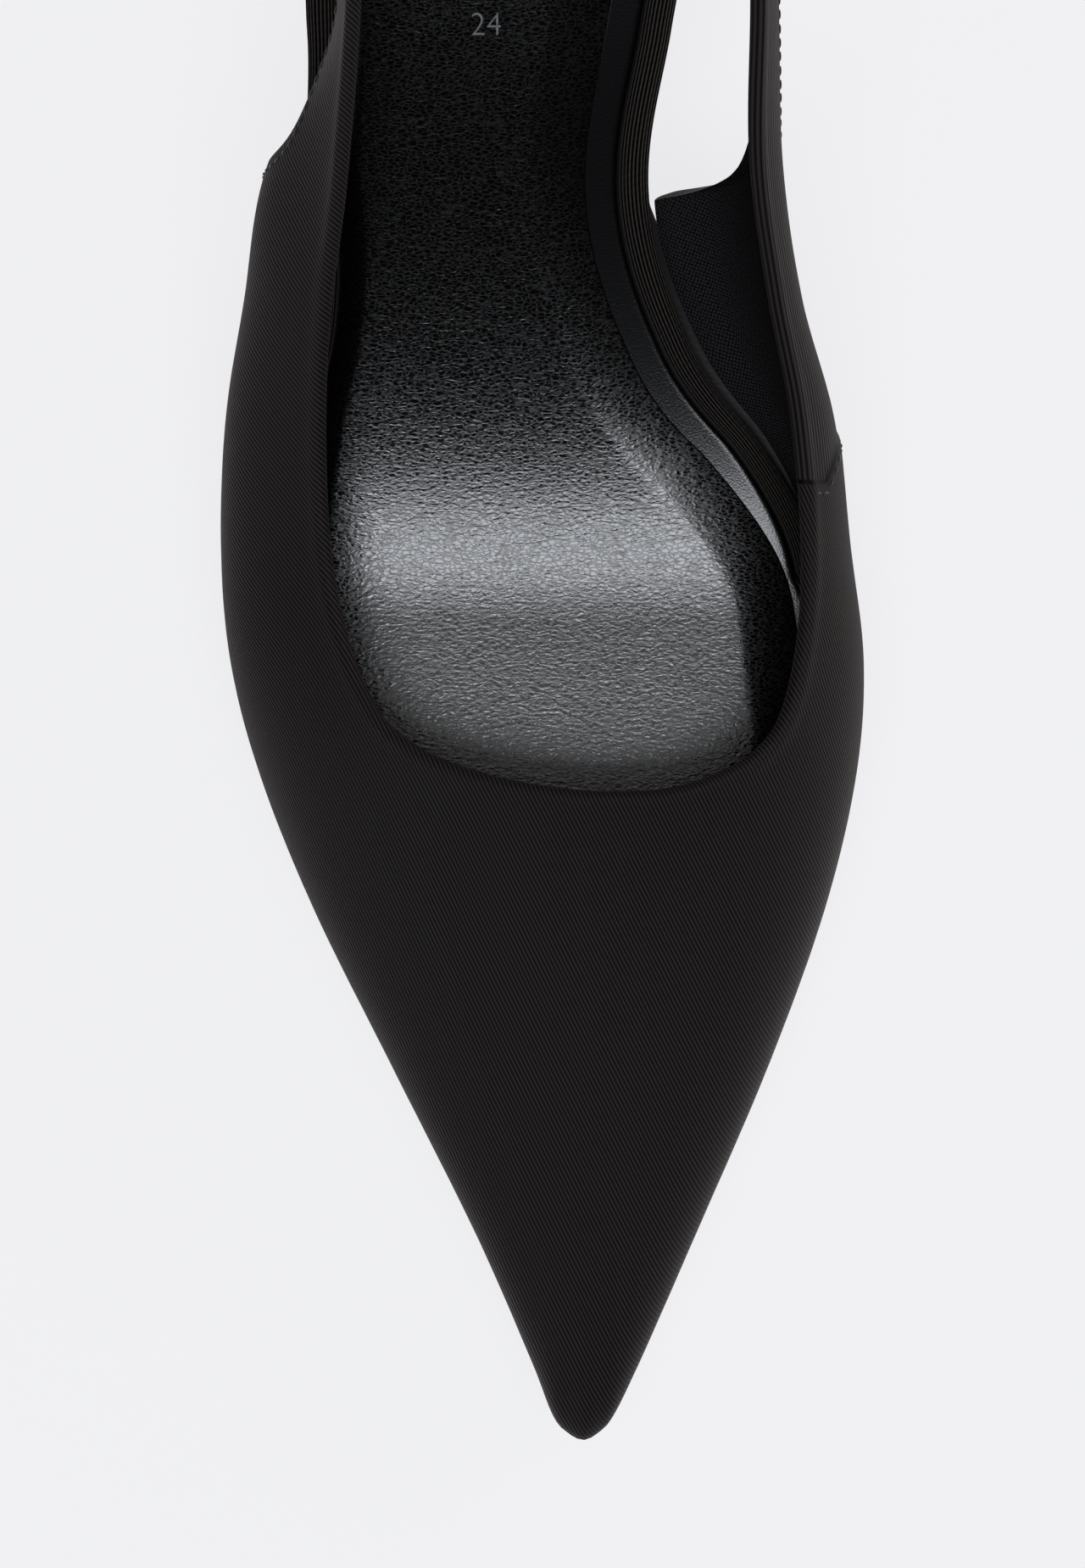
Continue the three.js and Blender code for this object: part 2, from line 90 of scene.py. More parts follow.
RIM_HEIGHT = 3.0
RIM_FRONT = 104.0
RIM_CROWN = 0.35
SOCK_THICKNESS = 1.4
SOCK_CROWN = 0.7
SOCK_START = 24.0
SOCK_STEP_START = 80.0
SOCK_STEP_END = 100.0
SOCK_BARE_WIDTH = 3.7
SOCK_BARE_START = 94.0
SOCK_BARE_FULL = 120.0
SOCK_BARE_END = 236.0
LASTING_FOOT = 1.2
TOP_PIECE_HEIGHT = 5.0
TOP_PIECE_WIDTH = 13.0
TOP_PIECE_LENGTH = 14.0
TOP_PIECE_SETBACK = 13.0
HEEL_LIP = 0.06
HEEL_WAIST = 2.3

# How the dressed pieces depart from the plain last, in millimetres unless it says otherwise
FOLD_DEPTH = 0.16
FOLD_DROP = 1.2
FOLD_REACH = 0.9
FOOT_REACH = 4.0
CORNER_REACH = 5.0
CORNER_GAIN = 0.9
CORNER_ROWS = 0.9
CORNER_START = 0.3
CLOTH_TURN_START = 86.0
CLOTH_TURN_END = 104.0
CLOTH_TURN = 95.0
CLOTH_TURN_WIDTH = 4.0
MARK_STATION = 166.6
MARK_X = -6.5
WRINKLE_DEPTH = 0.05 * MM
PORE_DEPTH = 0.03 * MM
KNIT_PITCH = 0.42
CAMERA_HEIGHT = 1.0
CAMERA_Y = -44.14
FOCAL_PIXELS = 9750
PHOTO_HEIGHT = 1849
SENSOR = 36.0

# Sections of the last from the toe tip to the back of the heel. Columns: at, as a share of
# the length; outer lateral and medial, tuck lateral and medial, as shares of the ball
# breadth; bulge lateral and medial, as shares of the bulge rise.
LAST = np.array([
    (0.0000, 0.064, 0.064, 0.004, 0.004, 0.55, 0.55),
    (0.0040, 0.038, 0.089, 0.005, 0.005, 0.55, 0.55),
    (0.0125, 0.016, 0.112, 0.008, 0.008, 0.58, 0.58),
    (0.0400, -0.019, 0.155, 0.013, 0.013, 0.63, 0.63),
    (0.1000, -0.104, 0.240, 0.017, 0.017, 0.72, 0.72),
    (0.1800, -0.233, 0.351, 0.021, 0.021, 0.82, 0.82),
    (0.2550, -0.353, 0.438, 0.026, 0.026, 0.90, 0.90),
    (0.3200, -0.437, 0.487, 0.034, 0.036, 0.95, 0.95),
    (0.3750, -0.483, 0.498, 0.044, 0.036, 1.00, 1.05),
    (0.4300, -0.497, 0.476, 0.057, 0.020, 1.10, 1.20),
    (0.4900, -0.487, 0.449, 0.067, 0.089, 1.25, 1.45),
    (0.5450, -0.455, 0.395, 0.068, 0.150, 1.40, 1.90),
    (0.6040, -0.418, 0.362, 0.034, 0.172, 1.45, 2.15),
    (0.6700, -0.313, 0.353, -0.072, 0.131, 1.25, 1.95),
    (0.7450, -0.315, 0.346, -0.068, 0.079, 1.30, 1.85),
    (0.8250, -0.323, 0.330, -0.050, 0.031, 1.50, 1.80),
    (0.9050, -0.314, 0.272, -0.010, 0.002, 1.90, 1.90),
    (0.9680, -0.252, 0.190, -0.002, -0.002, 2.20, 2.20),
    (1.0000, -0.034, -0.034, 0.010, 0.010, 2.30, 2.30),
])

# The collar edge of the same sections. Columns: at lateral and medial, edge lateral and
# medial, rise, slope lateral and medial, shoulder, ease.
COLLAR = np.array([
    (0.3117, 0.3117, 0.112, 0.112, 0.861, 0.32, 0.32, 0.34, 0.50),
    (0.3117, 0.3117, 0.083, 0.140, 0.861, 0.32, 0.32, 0.34, 0.50),
    (0.3125, 0.3121, 0.049, 0.171, 0.858, 0.33, 0.33, 0.35, 0.50),
    (0.3141, 0.3137, 0.005, 0.205, 0.856, 0.34, 0.34, 0.37, 0.50),
    (0.3173, 0.3169, -0.055, 0.244, 0.847, 0.36, 0.37, 0.40, 0.50),
    (0.3226, 0.3218, -0.119, 0.283, 0.833, 0.40, 0.43, 0.43, 0.48),
    (0.3319, 0.3306, -0.188, 0.329, 0.808, 0.47, 0.55, 0.46, 0.45),
    (0.3488, 0.3480, -0.251, 0.372, 0.778, 0.57, 0.80, 0.50, 0.42),
    (0.3839, 0.3831, -0.302, 0.400, 0.742, 0.66, 1.10, 0.50, 0.38),
    (0.4300, 0.4300, -0.331, 0.408, 0.720, 0.74, 1.35, 0.50, 0.36),
    (0.4900, 0.4900, -0.336, 0.390, 0.740, 0.80, 1.40, 0.50, 0.34),
    (0.5450, 0.5450, -0.323, 0.352, 0.790, 0.95, 1.40, 0.50, 0.33),
    (0.6040, 0.6040, -0.303, 0.323, 0.837, 2.40, 1.50, 0.34, 0.33),
    (0.6700, 0.6700, -0.284, 0.324, 0.865, 2.60, 2.40, 0.42, 0.33),
    (0.7420, 0.7420, -0.282, 0.322, 0.925, 2.80, 2.70, 0.40, 0.33),
    (0.8180, 0.8180, -0.282, 0.298, 1.040, 3.20, 3.20, 0.38, 0.33),
    (0.8920, 0.8920, -0.250, 0.232, 1.160, 3.20, 3.20, 0.36, 0.33),
    (0.9450, 0.9450, -0.186, 0.150, 1.240, 3.20, 3.20, 0.36, 0.33),
    (0.9650, 0.9650, -0.018, -0.018, 1.270, 3.20, 3.20, 0.36, 0.33),
])
TOE = len(LAST) - 1
LOOP = 2 * TOE
SEAT_BACK = SHOE_LENGTH - LAST[-1, 3] * BALL_BREADTH
RIM_INSET = UPPER_WALL + GAP
SEAT_EDGE_INSET = RIM_INSET + GAP
QUARTER_END = LAST[QUARTER_END_ROW, 0] * SHOE_LENGTH

# The CAD centres the shoe on its box; these shifts take a place on the last there.
TOP_LOW, TOP_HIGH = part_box("top_piece")
SHIFT = np.array([
    (TOP_LOW.x + TOP_HIGH.x) / 2 / MM - LAST[-1, 1] * BALL_BREADTH,
    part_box("insole_rim")[1].y / MM - (SEAT_BACK - RIM_INSET),
    0.0,
])


# The last
def loop_rows(lateral, medial):
    """Rows of a closed loop: heel back, lateral side, toe, medial side."""
    return np.vstack([np.column_stack(lateral)[::-1], np.column_stack(medial)[1:-1]])


OUTER = loop_rows(
    (LAST[:, 1] * BALL_BREADTH, LAST[:, 0] * SHOE_LENGTH, LAST[:, 5] * BULGE_RISE),
    (LAST[:, 2] * BALL_BREADTH, LAST[:, 0] * SHOE_LENGTH, LAST[:, 6] * BULGE_RISE),
)
EDGE = loop_rows(
    (COLLAR[:, 2] * BALL_BREADTH, COLLAR[:, 0] * SHOE_LENGTH, COLLAR[:, 4] * QUARTER_RISE),
    (COLLAR[:, 3] * BALL_BREADTH, COLLAR[:, 1] * SHOE_LENGTH, COLLAR[:, 4] * QUARTER_RISE),
)
SHAPE = loop_rows(
    (LAST[:, 3] * BALL_BREADTH, COLLAR[:, 5], COLLAR[:, 7], COLLAR[:, 8]),
    (LAST[:, 4] * BALL_BREADTH, COLLAR[:, 6], COLLAR[:, 7], COLLAR[:, 8]),
)


def on_loop(rows, u):
    """A smooth curve through the rows of a closed loop, at loop positions u."""
    u = np.asarray(u, float) % LOOP
    i = np.floor(u).astype(int)
    t = (u - i)[..., None]
    a, b, c, d = (rows[(i + k) % LOOP] for k in (-1, 0, 1, 2))
    bend = (2 * a - 5 * b + 4 * c - d) * t**2 + (3 * b - a - 3 * c + d) * t**3
    return 0.5 * (2 * b + (c - a) * t + bend)


def smooth(x, start, end):
    """0 before start, 1 after end, with an even ease between."""
    t = np.clip((np.asarray(x, float) - start) / (end - start), 0, 1)
    return t * t * (3 - 2 * t)


def foot_height(station):
    """Height of the upper's bottom edge: tread with toe spring, waist and seat."""
    tread_top = SOLE_THICKNESS + GAP
    seat_length = SHOE_LENGTH - WAIST_END
    climb = HEEL_HEIGHT - (SEAT_SLOPE_FRONT + SEAT_SLOPE_BACK) / 2 * seat_length
    run = WAIST_END - TREAD_END
    t = np.clip((station - TREAD_END) / run, 0, 1)
    waist = (3 * t * t - 2 * t**3) * climb + (t**3 - t * t) * SEAT_SLOPE_FRONT * run
    toe = TOE_SPRING * np.clip((TREAD_START - station) / TREAD_START, 0, None) ** 2
    back = np.clip(station - WAIST_END, 0, None)
    bend = (SEAT_SLOPE_FRONT - SEAT_SLOPE_BACK) * back * back / (2 * seat_length)
    return tread_top + waist + toe + SEAT_SLOPE_FRONT * back - bend


def bottom_edge(u, inset=0.0):
    """The last's bottom edge in plan, moved inwards by inset."""
    step = 0.02
    way = (on_loop(OUTER, u + step) - on_loop(OUTER, u - step))[..., :2]
    way /= np.linalg.norm(way, axis=-1, keepdims=True)
    reach = on_loop(SHAPE, u)[..., 0] + inset
    outer = on_loop(OUTER, u)
    return np.stack([outer[..., 0] - way[..., 1] * reach, outer[..., 1] + way[..., 0] * reach], -1)


def rib(u):
    """Ribs of the last, collar to bottom edge, and each point's distance from the collar."""
    wall_steps, tuck_steps = 44, 20
    outer, edge, shape = on_loop(OUTER, u), on_loop(EDGE, u), on_loop(SHAPE, u)
    plan = bottom_edge(u)
    foot = np.column_stack([plan, foot_height(plan[:, 1])])
    widest = outer + np.outer(foot_height(outer[:, 1]), (0, 0, 1))
    top = edge + np.outer(foot_height(edge[:, 1]), (0, 0, 1))
    run = top[:, :2] - widest[:, :2]
    upright = widest + np.outer(shape[:, 2] * (top[:, 2] - widest[:, 2]), (0, 0, 1))
    fall = np.column_stack([run, np.linalg.norm(run, axis=1) * shape[:, 1]])
    easing = top - shape[:, 3:] * fall
    t = np.linspace(0, 1, wall_steps + 1)[None, :, None]
    wall = (1 - t) ** 3 * top[:, None] + 3 * (1 - t) ** 2 * t * easing[:, None]
    wall = wall + 3 * (1 - t) * t * t * upright[:, None] + t**3 * widest[:, None]
    angle = math.pi / 2 * (1 - np.arange(1, tuck_steps + 1) / tuck_steps)
    share = np.stack([np.sin(angle), np.sin(angle), 1 - np.cos(angle)], -1)
    points = np.concatenate([wall, foot[:, None] + (widest - foot)[:, None] * share[None]], 1)
    steps = np.linalg.norm(np.diff(points, axis=1), axis=2)
    reach = np.concatenate([np.zeros((len(steps), 1)), np.cumsum(steps, 1)], 1)
    return points, reach


def wall_point(u, drop):
    """Points of the last's wall that lie drop below the collar at loop positions u."""
    points, reach = rib(u)
    want = np.minimum(drop, reach[:, -1])
    i = np.clip((reach < want[:, None]).sum(1), 1, reach.shape[1] - 1)
    n = np.arange(len(i))
    t = ((want - reach[n, i - 1]) / (reach[n, i] - reach[n, i - 1]))[:, None]
    return points[n, i - 1] * (1 - t) + points[n, i] * t


def wall_inward(u, drop):
    """The wall's inward direction, square to the last."""
    along = wall_point(u + 0.05, drop) - wall_point(u - 0.05, drop)
    down = wall_point(u, drop + 0.4) - wall_point(u, drop - 0.4)
    inward = np.cross(along, down)
    return inward / np.linalg.norm(inward, axis=1, keepdims=True)


def lower_edge(u):
    """The upper's lower edge: the bottom edge, the hollow cut, then the strap's edge."""
    row, side = np.abs(u - TOE), np.sign(u - TOE)
    past = np.clip(row - QUARTER_END_ROW, 0, None)
    turn = np.minimum(past / CUT_ROWS, 1) * math.pi / 2
    sweep = CUT_ROWS * (1 - np.cos(turn)) ** CUT_SWEEP + np.clip(past - CUT_ROWS, 0, None)
    low = np.where(past > 0, TOE + side * (QUARTER_END_ROW + sweep), u)
    rise = (1 - np.sin(turn)) ** CUT_RISE
    return low, STRAP_WIDTH + rise * (rib(low)[1][:, -1] - STRAP_WIDTH)


def edge_position(station, heel, inset):
    """Loop positions from the toe to the heel where the inset bottom edge reaches stations."""
    near, far = np.full(len(station), float(TOE)), np.full(len(station), float(heel))
    for _ in range(24):
        middle = (near + far) / 2
        ahead = bottom_edge(middle, inset)[:, 1] < station
        near, far = np.where(ahead, middle, near), np.where(ahead, far, middle)
    return (near + far) / 2


def breadth_at(station, insets):
    """The lateral and medial x where the bottom edge, inset on each side, crosses stations."""
    return [bottom_edge(edge_position(station, heel, inset), inset)[:, 0]
            for heel, inset in zip((0, LOOP), insets)]


def rim_width(station):
    return RIM_FRONT_WIDTH + (RIM_WIDTH - RIM_FRONT_WIDTH) * smooth(station, RIM_FRONT, RIM_TAPER_END)


def sock_insets(station):
    """The sock reaches the band laterally, and bares a strip of the board medially."""
    step = rim_width(station) * smooth(station, SOCK_STEP_START, SOCK_STEP_END)
    begun = smooth(station, SOCK_BARE_START, SOCK_BARE_FULL)
    bare = SOCK_BARE_WIDTH * begun * (1 - smooth(station, WAIST_END, SOCK_BARE_END))
    return [RIM_INSET + GAP + step + extra for extra in (0, bare)]


def board_insets(station):
    taper = (station - RIM_FRONT + BOARD_TAPER) / (BOARD_TAPER - 2 * GAP)
    return 2 * [RIM_INSET + (rim_width(station) + GAP) * np.clip(taper, 0, 1)]


def sole_insets(station):
    blend = smooth(station, QUARTER_END - SOLE_BLEND, QUARTER_END)
    return 2 * [(SEAT_EDGE_INSET + SOLE_EDGE) * blend - SOLE_EDGE]


# Meshes
def start_mesh(*shares):
    """An empty mesh with the named shares on its vertices, which must come before its shape."""
    bm = bmesh.new()
    for name in shares:
        bm.verts.layers.float.new(name)
    return bm


def to_frame(points):
    """Places on the last, in millimetres, as places in the frame, in metres."""
    return (np.asarray(points) + SHIFT) * MM


def grid(bm, columns, rows):
    """A flat grid from -0.5 to 0.5, and the shares of its vertices along and across it."""
    made = bmesh.ops.create_grid(bm, x_segments=columns, y_segments=rows, size=0.5)["verts"]
    flat = np.array([v.co[:] for v in made])
    return made, flat[:, 0] + 0.5, flat[:, 1] + 0.5


def put(verts, points):
    for vert, point in zip(verts, points):
        vert.co = point


def map_faces(bm, name, faces, verts, values):
    """Writes one UV pair for each vertex, before the edges of the grid are joined."""
    layer = bm.loops.layers.uv.get(name) or bm.loops.layers.uv.new(name)
    at = {vert: value for vert, value in zip(verts, values)}
    for face in faces:
        for corner in face.loops:
            corner[layer].uv = at[corner.vert]


def face_out(bm):
    """Turns the faces of a closed mesh outwards."""
    if bm.calc_volume(signed=True) < 0:
        bmesh.ops.reverse_faces(bm, faces=bm.faces)


def make_piece(bm, name, materials, nodes=()):
    mesh = bpy.data.meshes.new(name)
    bm.to_mesh(mesh)
    bm.free()
    for material in materials:
        mesh.materials.append(material)
    mesh.polygons.foreach_set("use_smooth", [True] * len(mesh.polygons))
    piece = bpy.data.objects.new(name, mesh)
    bpy.context.scene.collection.objects.link(piece)
    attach(piece, "root")
    if nodes:
        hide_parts(*nodes)
    return piece


# Materials
def linear(code):
    """An sRGB hex colour as linear red, green and blue."""
    parts = [int(code[i:i + 2], 16) / 255 for i in (1, 3, 5)]
    return [c / 12.92 if c <= 0.04045 else ((c + 0.055) / 1.055) ** 2.4 for c in parts]


def add(tree, kind, inputs=(), **settings):
    """Adds a node, gives it its settings, and sets or links its inputs."""
    node = tree.nodes.new("ShaderNode" + kind)
    for key, value in settings.items():
        setattr(node, key, value)
    sockets = [s for s in node.inputs if s.enabled]
    for key, value in dict(inputs).items():
        socket = sockets[key] if isinstance(key, int) else next(s for s in sockets if s.name == key)
        if isinstance(value, bpy.types.Node):
            value = next(s for s in value.outputs if s.enabled)
        if isinstance(value, bpy.types.NodeSocket):
            tree.links.new(value, socket)
        elif socket.type == "RGBA" and len(value) == 3:
            socket.default_value = (*value, 1)
        else:
            socket.default_value = value
    return node


def new_surface(name, values):
    """A new material, with constants set directly on its shader."""
    material = bpy.data.materials.new(name)
    material.use_nodes = True
    shader = material.node_tree.nodes["Principled BSDF"]
    for key, value in values.items():
        socket = shader.inputs[key]
        socket.default_value = (*value, 1) if socket.type == "RGBA" and len(value) == 3 else value
    return material, material.node_tree, shader


def blend(tree, factor, low, high):
    """Two colours mixed by a factor."""
    return add(tree, "Mix", {"Factor": factor, "A": low, "B": high}, data_type="RGBA").outputs[2]


def shaded(tree, factor, tone, low, high):
    """One colour between two shares of itself."""
    return blend(tree, factor, [c * low for c in tone], [c * high for c in tone])


def relief(tree, shader, height, depth):
    """Gives the shader a bump of a depth in metres."""
    bump = add(tree, "Bump", {"Strength": 1.0, "Distance": depth, "Height": height})
    tree.links.new(bump.outputs[0], shader.inputs["Normal"])


def speckle(tree, scale, detail):
    """Fine noise in the object's own metres."""
    place = add(tree, "TexCoord").outputs["Object"]
    return add(tree, "TexNoise", {"Vector": place, "Scale": scale, "Detail": detail})


def length(name, description, default):
    """A length given in millimetres, kept in metres."""
    return FloatProperty(name=name, description=description, default=default * MM,
                         min=0, soft_max=0.1, precision=5, unit="LENGTH")


def colour(name, description, default):
    return FloatVectorProperty(name=name, description=description, default=linear(default),
                               size=3, min=0, max=1, subtype="COLOR")


class PumpSizes(bpy.types.PropertyGroup):
    """Sizes of the pump's cloth, leather and thread"""

    rib_pitch: length("Rib pitch", "Distance between the ribs of the faille", 0.44)
    rib_height: length("Rib height", "How far the ribs of the faille stand up", 0.08)
    rib_lean: FloatProperty(name="Rib lean", description="Angle of the vamp's ribs to the shoe's length",
                            default=math.radians(26), subtype="ANGLE", unit="ROTATION")
    seam_lap: length("Seam lap", "How far the vamp stands over the medial quarter", 0.3)
    stitch_pitch: length("Stitch pitch", "Distance between stitches", 1.8)
    stitch_length: length("Stitch length", "Length of one stitch", 1.3)
    thread: length("Thread", "Thickness of the sewing thread", 0.28)
    edge_margin: length("Edge margin", "Distance of the stitches from the strap's edge", 1.3)
    grain: length("Grain", "Distance between the wrinkles of the grained leather", 0.52)
    mark_height: length("Mark height", "Height of the number on the sock", 2.6)
    band_rib: length("Band rib", "How far the ribs of the rim stand up", 0.2)
    sock_roll: length("Sock roll", "Width over which the sock's medial edge rolls down", 7.0)
    lateral_roll: length("Lateral roll", "Width over which the sock's lateral edge rolls down", 3.0)
    sock_fall: length("Sock fall", "How far the sock's edge rolls down", 1.4)


class PumpColours(bpy.types.PropertyGroup):
    """Colours of the pump and its floor"""

    # The rib top and groove colours are a painted highlight and painted shade on the black silk.
    lit_rib_top: colour("Rib top", "Black silk on top of a rib", "#322D2E")
    shaded_rib_groove: colour("Rib groove", "Black silk between two ribs", "#020202")
    sheen: colour("Sheen", "Warm light in the cloth's nap", "#FFE9E0")
    # The band colour is the painted highlight on the cord tops of the rim.
    band: colour("Band", "Black cord on top of a rib of the rim", "#4C4743")
    lining: colour("Lining", "Black knitted lining", "#121112")
    sock: colour("Sock", "Grained black leather", "#030303")
    board: colour("Board", "Smooth black leather over the board", "#040405")
    sole: colour("Sole", "Black moulded rubber", "#151515")
    thread: colour("Thread", "Black sewing thread", "#1D1A18")
    mark: colour("Mark", "Silver grey number", "#77797B")
    floor: colour("Floor", "Pale floor", "#F1F1F3")


def ribs(tree, coordinate, direction, pitch, wobble=0.3):
    """Rounded ribs, 0 in the groove and 1 on top, square to a direction in millimetres."""
    noise = add(tree, "TexNoise", {"Vector": coordinate, "Scale": 0.06, "Detail": 1}, noise_dimensions="2D")
    phase = add(tree, "VectorMath", {0: coordinate, 1: [c * 2 * math.pi / pitch for c in direction]},
                operation="DOT_PRODUCT")
    sway = add(tree, "Math", {0: noise, 1: wobble * 2 * math.pi}, operation="MULTIPLY")
    turned = add(tree, "Math", {0: phase.outputs["Value"], 1: sway}, operation="ADD")
    wave = add(tree, "Math", {0: turned}, operation="SINE")
    return add(tree, "MapRange", {"Value": wave, "From Min": -1.0, "From Max": 0.9})


def black_faille(sizes, colours, name, quarter=False):
    """Silk faille: fine filling ribs under a tight black warp. Rib tops are painted warm grey as a
    painted highlight, grooves black as painted shade; the nap brightens where the eye grazes it."""
    material, tree, shader = new_surface(name, {
        "Roughness": 0.6, "Specular IOR Level": 0.1, "IOR": 1.45, "Sheen Weight": 0.06,
        "Sheen Roughness": 0.45, "Sheen Tint": list(colours.sheen),
    })
    pitch = sizes.rib_pitch / MM
    lean = sizes.rib_lean
    cloth = add(tree, "UVMap", uv_map="cloth")
    height = ribs(tree, cloth, (math.cos(lean), math.sin(lean), 0), pitch)
    if quarter:
        run = add(tree, "UVMap", uv_map="run")
        along = ribs(tree, run, (0, 1, 0), pitch * 1.5, 0.1)
        seam = add(tree, "Attribute", attribute_name="seam")
        behind = add(tree, "MapRange", {"Value": seam.outputs["Fac"], "From Min": -0.05, "From Max": 0.05})
        height = add(tree, "Mix", {"Factor": behind, "A": height, "B": along})
        # Along the seam line the ribs flatten, so the colour falls to the grooves' painted shade.
        line = add(tree, "Math", {0: seam.outputs["Fac"]}, operation="ABSOLUTE")
        groove = add(tree, "MapRange", {"Value": line, "From Min": 0.12, "From Max": 0.4})
        height = add(tree, "Math", {0: height, 1: groove}, operation="MULTIPLY")
    threads = add(tree, "TexNoise", {"Vector": cloth, "Scale": 5.0, "Detail": 3}, noise_dimensions="2D")
    rough = add(tree, "MapRange", {"Value": threads, "To Min": 0.8, "To Max": 1.0})
    lit = add(tree, "Math", {0: height, 1: rough}, operation="MULTIPLY")
    # Base colour: painted highlight on the rib tops, painted shade in the grooves.
    shade = blend(tree, lit, list(colours.shaded_rib_groove), list(colours.lit_rib_top))
    tree.links.new(shade, shader.inputs["Base Color"])
    relief(tree, shader, lit, sizes.rib_height)
    return material


def knitted_lining(colours):
    """Knitted polyester lining: dull black with small dots in columns."""
    material, tree, shader = new_surface("knitted_polyester", {
        "Roughness": 1.0, "Specular IOR Level": 0.05,
    })
    run = add(tree, "UVMap", uv_map="run")
    scaled = add(tree, "Mapping", {"Vector": run, "Rotation": (0, 0, math.radians(32)),
                                   "Scale": (1 / KNIT_PITCH, 1 / KNIT_PITCH, 1)})
    dots = add(tree, "TexVoronoi", {"Vector": scaled, "Scale": 1.0, "Randomness": 0.2},
               voronoi_dimensions="2D")
    dot = add(tree, "MapRange", {"Value": dots.outputs["Distance"], "From Min": 0.15, "From Max": 0.55,
                                 "To Min": 1.0, "To Max": 0.0})
    shade = shaded(tree, dot, colours.lining, 0.5, 4.2)
    tree.links.new(shade, shader.inputs["Base Color"])
    relief(tree, shader, dot, 0.04 * MM)
    return material


def grained_leather(sizes, colours):
    """Grained, finished leather: near black, with a cool gloss on its wrinkles that the dull
    cracks between them break up. The wrinkles are drawn a little coarser than the real ones."""
    material, tree, shader = new_surface("grained_leather", {"Specular IOR Level": 0.85, "IOR": 1.5})
    place = add(tree, "TexCoord")
    pitch = sizes.grain
    flat = add(tree, "Mapping", {"Vector": place.outputs["Object"],
                                 "Scale": (0.5 / pitch, 1 / pitch, 0.5 / pitch)})
    warp = add(tree, "TexNoise", {"Vector": flat, "Scale": 0.35, "Detail": 3, "Distortion": 1.2})
    drift = add(tree, "VectorMath", {0: warp.outputs["Color"], 1: (1.2, 1.2, 1.2)}, operation="MULTIPLY")
    bent = add(tree, "VectorMath", {0: flat, 1: drift}, operation="ADD")
    wrinkle = add(tree, "TexNoise", {"Vector": bent, "Scale": 1.5, "Detail": 1, "Roughness": 0.4})
    cells = add(tree, "TexVoronoi", {"Vector": bent, "Scale": 1.3}, feature="DISTANCE_TO_EDGE")
    crack = add(tree, "MapRange", {"Value": cells, "From Min": 0.02, "From Max": 0.24})
    pits = add(tree, "Math", {0: crack, 1: 0.09}, operation="MULTIPLY")
    height = add(tree, "Math", {0: wrinkle, 1: pits}, operation="ADD")
    # Base colour halved in the cracks: painted shade in the grain's recesses.
    shade = shaded(tree, crack, colours.sock, 0.5, 1.0)
    gloss = add(tree, "MapRange", {"Value": crack, "To Min": 0.36, "To Max": 0.14})
    tree.links.new(shade, shader.inputs["Base Color"])
    tree.links.new(gloss.outputs[0], shader.inputs["Roughness"])
    relief(tree, shader, height, WRINKLE_DEPTH)
    return material


def smooth_leather(colours):
    """Smooth finished leather: black, glossy, with fine pores that roughen its highlight. The
    pores are drawn coarser than real ones, which would not show."""
    material, tree, shader = new_surface("smooth_leather", {
        "Roughness": 0.26, "Specular IOR Level": 0.85, "IOR": 1.5,
    })
    pores = speckle(tree, 4200.0, 3)
    shade = shaded(tree, pores, colours.board, 0.6, 1.6)
    tree.links.new(shade, shader.inputs["Base Color"])
    relief(tree, shader, pores, PORE_DEPTH)
    return material


def ribbed_band(sizes, colours):
    """Woven ribbed band: thin cords side by side, a painted brown highlight on their tops, painted shade in
    the grooves.
    """
    material, tree, shader = new_surface("ribbed_faille", {
        "Roughness": 0.9, "Specular IOR Level": 0.06, "Sheen Weight": 0.02, "Sheen Roughness": 0.4,
        "Sheen Tint": list(colours.sheen),
    })
    run = add(tree, "UVMap", uv_map="run")
    twist = ribs(tree, run, (0.92, 0.4, 0), 0.9)
    edge = add(tree, "Attribute", attribute_name="rib")
    # The rib share, sharpened, places the painted highlight on the cord tops.
    thin = add(tree, "Math", {0: edge.outputs["Fac"], 1: 6.0}, operation="POWER")
    lit = add(tree, "Math", {0: twist, 1: 0.2}, operation="MULTIPLY")
    lit = add(tree, "Math", {0: lit, 1: 0.8}, operation="ADD")
    lit = add(tree, "Math", {0: lit, 1: thin}, operation="MULTIPLY")
    # Base colour: painted highlight on the cord tops, painted shade between them.
    shade = blend(tree, lit, list(colours.shaded_rib_groove), list(colours.band))
    tree.links.new(shade, shader.inputs["Base Color"])
    relief(tree, shader, twist, 0.03 * MM)
    return material


def moulded_rubber(colours, name, roughness):
    """Moulded rubber: dull black with a fine stipple and scattered lighter dust."""
    material, tree, shader = new_surface(name, {
        "Roughness": roughness, "Specular IOR Level": 0.4, "IOR": 1.52,
    })
    stipple = speckle(tree, 1800.0, 3)
    patches = speckle(tree, 60.0, 4)
    shade = shaded(tree, patches, colours.sole, 0.7, 1.6)
    tree.links.new(shade, shader.inputs["Base Color"])
    relief(tree, shader, stipple, 0.05 * MM)
    return material


def polyester_thread(colours):
    """Polyester thread: black with a soft shine, a little paler where it crosses the light."""
    material, tree, shader = new_surface("polyester_thread", {
        "Roughness": 0.5, "Specular IOR Level": 0.4, "Sheen Weight": 0.2,
    })
    fibres = speckle(tree, 3500.0, 2)
    shade = shaded(tree, fibres, colours.thread, 0.6, 1.8)
    tree.links.new(shade, shader.inputs["Base Color"])
    return material


def foil_print(colours):
    """Pressed foil print: thin silver grey, broken by the grain under it."""
    material, tree, shader = new_surface("foil_print", {"Roughness": 0.4, "Specular IOR Level": 0.5})
    wear = speckle(tree, 2600.0, 2)
    shade = shaded(tree, wear, colours.mark, 0.5, 1.3)
    tree.links.new(shade, shader.inputs["Base Color"])
    return material


